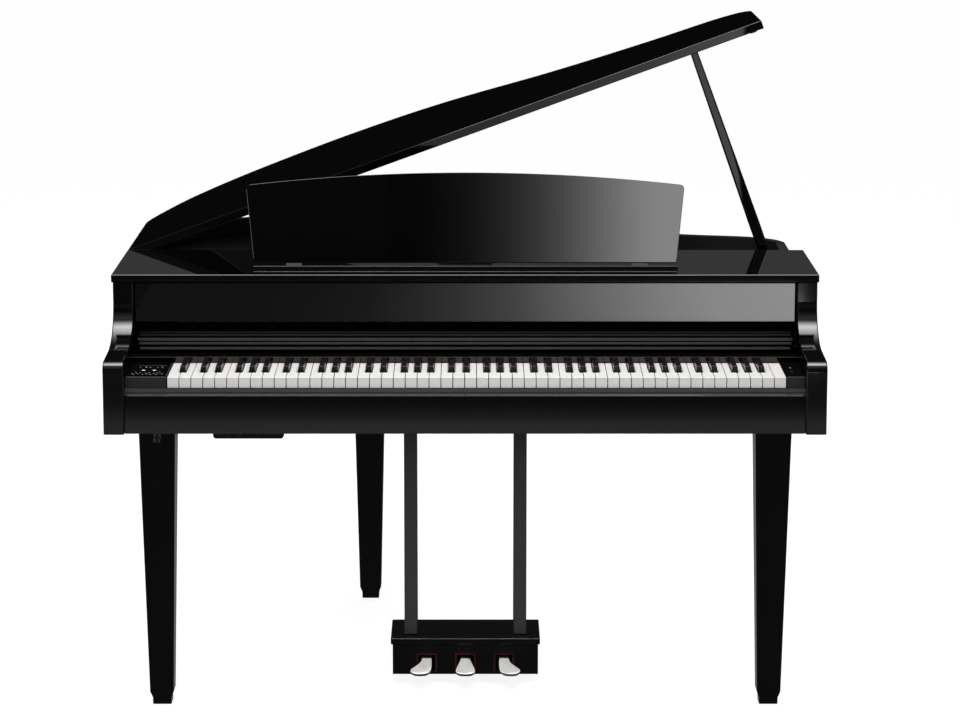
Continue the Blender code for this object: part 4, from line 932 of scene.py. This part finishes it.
def spoonPlan(place):
    # place is -1, 0 or 1 from left to right; the outer spoons flare outwards
    half = lever["spoon"]
    run = lever["flared"] if place else (*half, *((-x, y) for x, y in reversed(half[:-1])))
    return [Vector((place * lever["spacing"] - (place or -1) * x, y, 0)) for x, y in run]


def spoonOf(place):
    # the outline raised, its edges rolled over, then tilted down towards the tip
    plan = spoonPlan(place)
    lead = Vector(lever["lead"])
    bm = curveRun(plan, 5, plan[0] + lead, plan[-1] + lead)
    ends = [v for v in bm.verts if len(v.link_edges) == 1]
    bm.edges.new(ends)
    bmesh.ops.contextual_create(bm, geom=bm.edges[:])
    raisePlan(bm, lever["top"] - lever["thick"], lever["top"])
    roundEdges(bm, lever["edge"], 5, 60)
    tilt = Matrix.Identity(4)
    tilt[2][1] = lever["slope"]
    bmesh.ops.transform(bm, matrix=tilt, verts=bm.verts, space=Matrix.Translation((0, -lever["mouth"], 0)))
    return bm


def shankOf(place):
    middle, inset = place * lever["spacing"], lever["neckInset"]
    bar = slab((middle - lever["neck"], middle + lever["neck"]),
               (lever["mouth"] - lever["neckLap"], lever["neckRear"]),
               (lever["top"] - lever["thick"] + inset, lever["top"] - inset))
    return roundEdges(bar, lever["neckEdge"], 3, 60)


for side, place in (("left", -1), ("centre", 0), ("right", 1)):
    body = side + "_pedal"
    # spoon faces that turn sideways or down take the darker wire grey: painted shade
    settle(side + "PedalSpoon", spoonOf(place), "nickel", [body], body, sharp=60,
           second=("wire", lambda face: face.normal.z < lever["shadedSideBelow"]))
    # the shank in the dark neck finish: painted shade inside the mouth
    settle(side + "PedalShank", shankOf(place), "neck", body=body)
print("fittings made")


studio = {
    "floor": (60.0, 60.0), "floorAt": (0, 0, -0.0005), "floorColour": (0.3, 0.3, 0.3, 1), "floorGlow": 0.88,
    "cameraAt": (0.012, -6.821, 1.971), "pitch": -10.1, "lens": 120.42, "shiftX": 0.0093, "shiftY": -0.05,
    # strength of the sky, and the grey that matt surfaces see
    "sky": 1.0, "fill": 0.36,
    # radiance that lacquer mirrors, by the sine of the elevation
    "frontAir": ((-0.8, 0.05), (-0.2, 0.06), (-0.19, 0.09), (-0.169, 0.08), (-0.162, 0.05), (-0.15, 0.02),
                 (-0.1, 0.02), (0.0, 0.06), (0.12, 0.1), (0.2, 0.08), (0.36, 0.012), (0.45, 0.012), (0.55, 0.1),
                 (0.8, 0.5)),
    "backAir": ((-0.8, 0.2), (-0.22, 0.2), (-0.19, 0.02), (-0.02, 0.004), (0.135, 0.002), (0.148, 0.02),
                (0.156, 0.082), (0.175, 0.088), (0.2, 0.06), (0.27, 0.02), (0.8, 0.05)),
}


def stagePlane(name, size, centre, turn=(0, 0, 0)):
    bm = bmesh.new()
    bmesh.ops.create_grid(bm, x_segments=1, y_segments=1, size=0.5)
    bmesh.ops.scale(bm, verts=bm.verts, vec=(*size, 1))
    plane = added(name, meshOf(name, bm))
    plane.location = centre
    plane.rotation_euler = [math.radians(angle) for angle in turn]
    return plane


def glowCard(name, size, centre, strength, stops, along=0, feather=(0.3, 0.4), turn=(0, 0, 0)):
    # a card that only reflections see: its light runs along one side as the stops say, feathered at the rim
    card = stagePlane(name, size, centre, turn)
    card.visible_camera = card.visible_diffuse = card.visible_shadow = card.visible_transmission = False
    look = Finish(name, {})
    look.tree.nodes.remove(look.shader)
    axes = look.axes()
    tone = look.ramp(axes[along] * (1 / size[along]) + 0.5, stops)
    rims = []
    for axis, side, soft in zip(axes, size, feather):
        gap = look.add("ShaderNodeMath", {"operation": "ABSOLUTE"}, {0: axis})
        rims.append(1 - look.add("ShaderNodeMapRange", {"interpolation_type": "SMOOTHSTEP"},
                                 {"Value": gap, "From Min": side / 2 * (1 - soft), "From Max": side / 2}))
    mask = rims[0] * rims[1]
    glow = look.add("ShaderNodeEmission", {}, {"Color": tone, "Strength": mask * strength})
    clear = look.add("ShaderNodeBsdfTransparent", {}, {})
    shown = look.add("ShaderNodeMixShader", {}, {0: mask, 1: clear, 2: glow})
    look.tree.links.new(shown.socket, look.tree.nodes["Material Output"].inputs["Surface"])
    card.data.materials.append(look.material)


def softLight(name, size, centre, aim, power, spread=180):
    lamp = bpy.data.lights.new(name, "AREA")
    lamp.spread = math.radians(spread)
    lamp.shape = "RECTANGLE"
    lamp.size, lamp.size_y = size
    lamp.energy = power
    thing = added(name, lamp)
    thing.location = centre
    thing.rotation_mode = "QUATERNION"
    thing.rotation_quaternion = (Vector(aim) - Vector(centre)).to_track_quat("-Z", "Y")
    thing.visible_glossy = False


floor = stagePlane("floor", studio["floor"], studio["floorAt"])
floor.visible_glossy = False
pale = Finish("floorPaint", {"Base Color": studio["floorColour"], "Emission Color": (1, 1, 1, 1),
                             "Emission Strength": studio["floorGlow"]})
pale.feed(roughness=pale.between(pale.noise(3.0), 0.85, 0.95))
floor.data.materials.append(pale.material)

sweepStops = ((0, 0.15), (0.25, 0.45), (0.5, 1.0), (0.75, 0.7), (1, 0.25))
# cards stand where the camera finds them mirrored: overhead in rounded edges, the tall one in the desk, the
# floor strips in the open cover and along the feet of the front boards; the last three lie round the sides and
# the back, where the case mirrors them when the camera goes round it
cards = {
    "overheadCard": {
        "size": (2.7, 5.2), "centre": (0, 0.45, 3.6), "strength": 13.5, "along": 1, "feather": (0.25, 0.02),
        "stops": ((0, 0.0), (0.06, 0.1), (0.16, 0.55), (0.25, 1.0), (0.375, 0.62), (0.46, 0.36), (0.55, 0.17),
                  (0.65, 0.075), (0.78, 0.03), (1, 0.01))},
    "deskCard": {
        "size": (1.13, 2.2), "centre": (0.265, -5.0, 3.2), "turn": (90, 0, 0), "strength": 5.45,
        "feather": (0.02, 0.15),
        "stops": ((0.08, 0.0), (0.115, 0.002), (0.19, 0.008), (0.265, 0.018), (0.34, 0.042), (0.416, 0.082),
                  (0.49, 0.145), (0.566, 0.245), (0.645, 0.4), (0.726, 0.6), (0.8, 0.8), (0.87, 0.95), (1, 1.0))},
    "coverCard": {
        "size": (2.4, 0.83), "centre": (0.025, -5.245, 0.002), "strength": 6.3, "feather": (0.012, 0.01),
        "stops": ((0.0, 0.02), (0.197, 0.02), (0.268, 0.024), (0.342, 0.033), (0.415, 0.066), (0.488, 0.118),
                  (0.562, 0.205), (0.634, 0.375), (0.7075, 0.555), (0.78, 0.74), (0.853, 0.9), (0.94, 0.965),
                  (1.0, 1.0))},
    "lidCard": {
        "size": (0.99, 0.56), "centre": (0.305, -2.5, 0.93), "turn": (90, 0, 0), "strength": 1.36,
        "feather": (0.03, 0.05), "stops": ((0.0, 0.4), (0.32, 0.44), (0.687, 0.68), (0.96, 1.0))},
    "slipCard": {
        "size": (9.0, 0.8), "centre": (0, -3.5, 0.002), "strength": 0.46, "along": 1, "feather": (0.1, 0.05),
        "stops": ((0, 0.08), (0.02, 0.15), (0.15, 0.27), (0.3, 0.55), (0.43, 0.95), (0.62, 1.0), (0.85, 0.5),
                  (1, 0.0))},
    "bassStrip": {"size": (4.2, 6.5), "centre": (-4.0, 0.2, 0.002), "strength": 1.7, "stops": sweepStops},
    "trebleStrip": {"size": (4.2, 6.5), "centre": (4.0, 0.2, 0.002), "strength": 1.2, "stops": sweepStops},
    "tailStrip": {"size": (7.0, 2.4), "centre": (0, 3.3, 0.002), "strength": 1.5, "stops": sweepStops,
                  "along": 1, "feather": (0.4, 0.3)},
}
for name, card in cards.items():
    glowCard(name, **card)

lamps = {
    "pedalLight": {"size": (0.6, 0.2), "centre": (0, -1.5, 0.85), "aim": (0, -0.33, 0.05), "power": 1.6, "spread": 46},
    "topLight": {"size": (3.0, 2.0), "centre": (0, -0.8, 3.2), "aim": (0, -0.2, 0.7), "power": 98},
    "frontLight": {"size": (3.0, 2.0), "centre": (-1.2, -5.0, 2.6), "aim": (0, 0, 0.6), "power": 17},
    "rearLight": {"size": (3.0, 2.0), "centre": (0.5, 4.5, 2.6), "aim": (0, 0, 0.6), "power": 40},
}
for name, lamp in lamps.items():
    softLight(name, **lamp)


def paintWorld():
    # white to the camera, pale to matt surfaces; polished ones see a dusky room, paler low down in front
    world = bpy.data.worlds.new("studioAir")
    bpy.context.scene.world = world
    world.use_nodes = True
    world.node_tree.nodes.clear()
    air = Shading(world.node_tree, "Generated")
    depth, height = air.axes()[1:]
    reach = 0.8  # sines of elevation from -reach to reach spread over the whole ramp
    rise = air.add("ShaderNodeMapRange", {}, {"Value": height, "From Min": -reach, "From Max": reach})
    ahead, behind = (air.ramp(rise, [(sine / (2 * reach) + 0.5, tone) for sine, tone in studio[side]])
                     for side in ("frontAir", "backAir"))
    glossy, direct = (air.add("ShaderNodeLightPath", {}, {}, ray) for ray in ("Is Glossy Ray", "Is Camera Ray"))
    polished = air.mix(glossy, (studio["fill"],) * 3, air.mix(depth > 0.0, ahead, behind))
    seen = air.mix(direct, polished, (1.0, 1.0, 1.0))
    sky = air.add("ShaderNodeBackground", {}, {"Color": seen, "Strength": studio["sky"]})
    air.tree.links.new(sky.socket, air.tree.nodes.new("ShaderNodeOutputWorld").inputs["Surface"])


paintWorld()
bpy.context.scene.view_settings.view_transform = "Standard"

lens = bpy.data.cameras.new("camera")
lens.lens = studio["lens"]
lens.shift_x, lens.shift_y = studio["shiftX"], studio["shiftY"]
lens.clip_end = 200
camera = added("camera", lens)
camera.location = studio["cameraAt"]
camera.rotation_euler = (math.radians(90 + studio["pitch"]), 0, 0)
bpy.context.scene.camera = camera
print("studio lit")
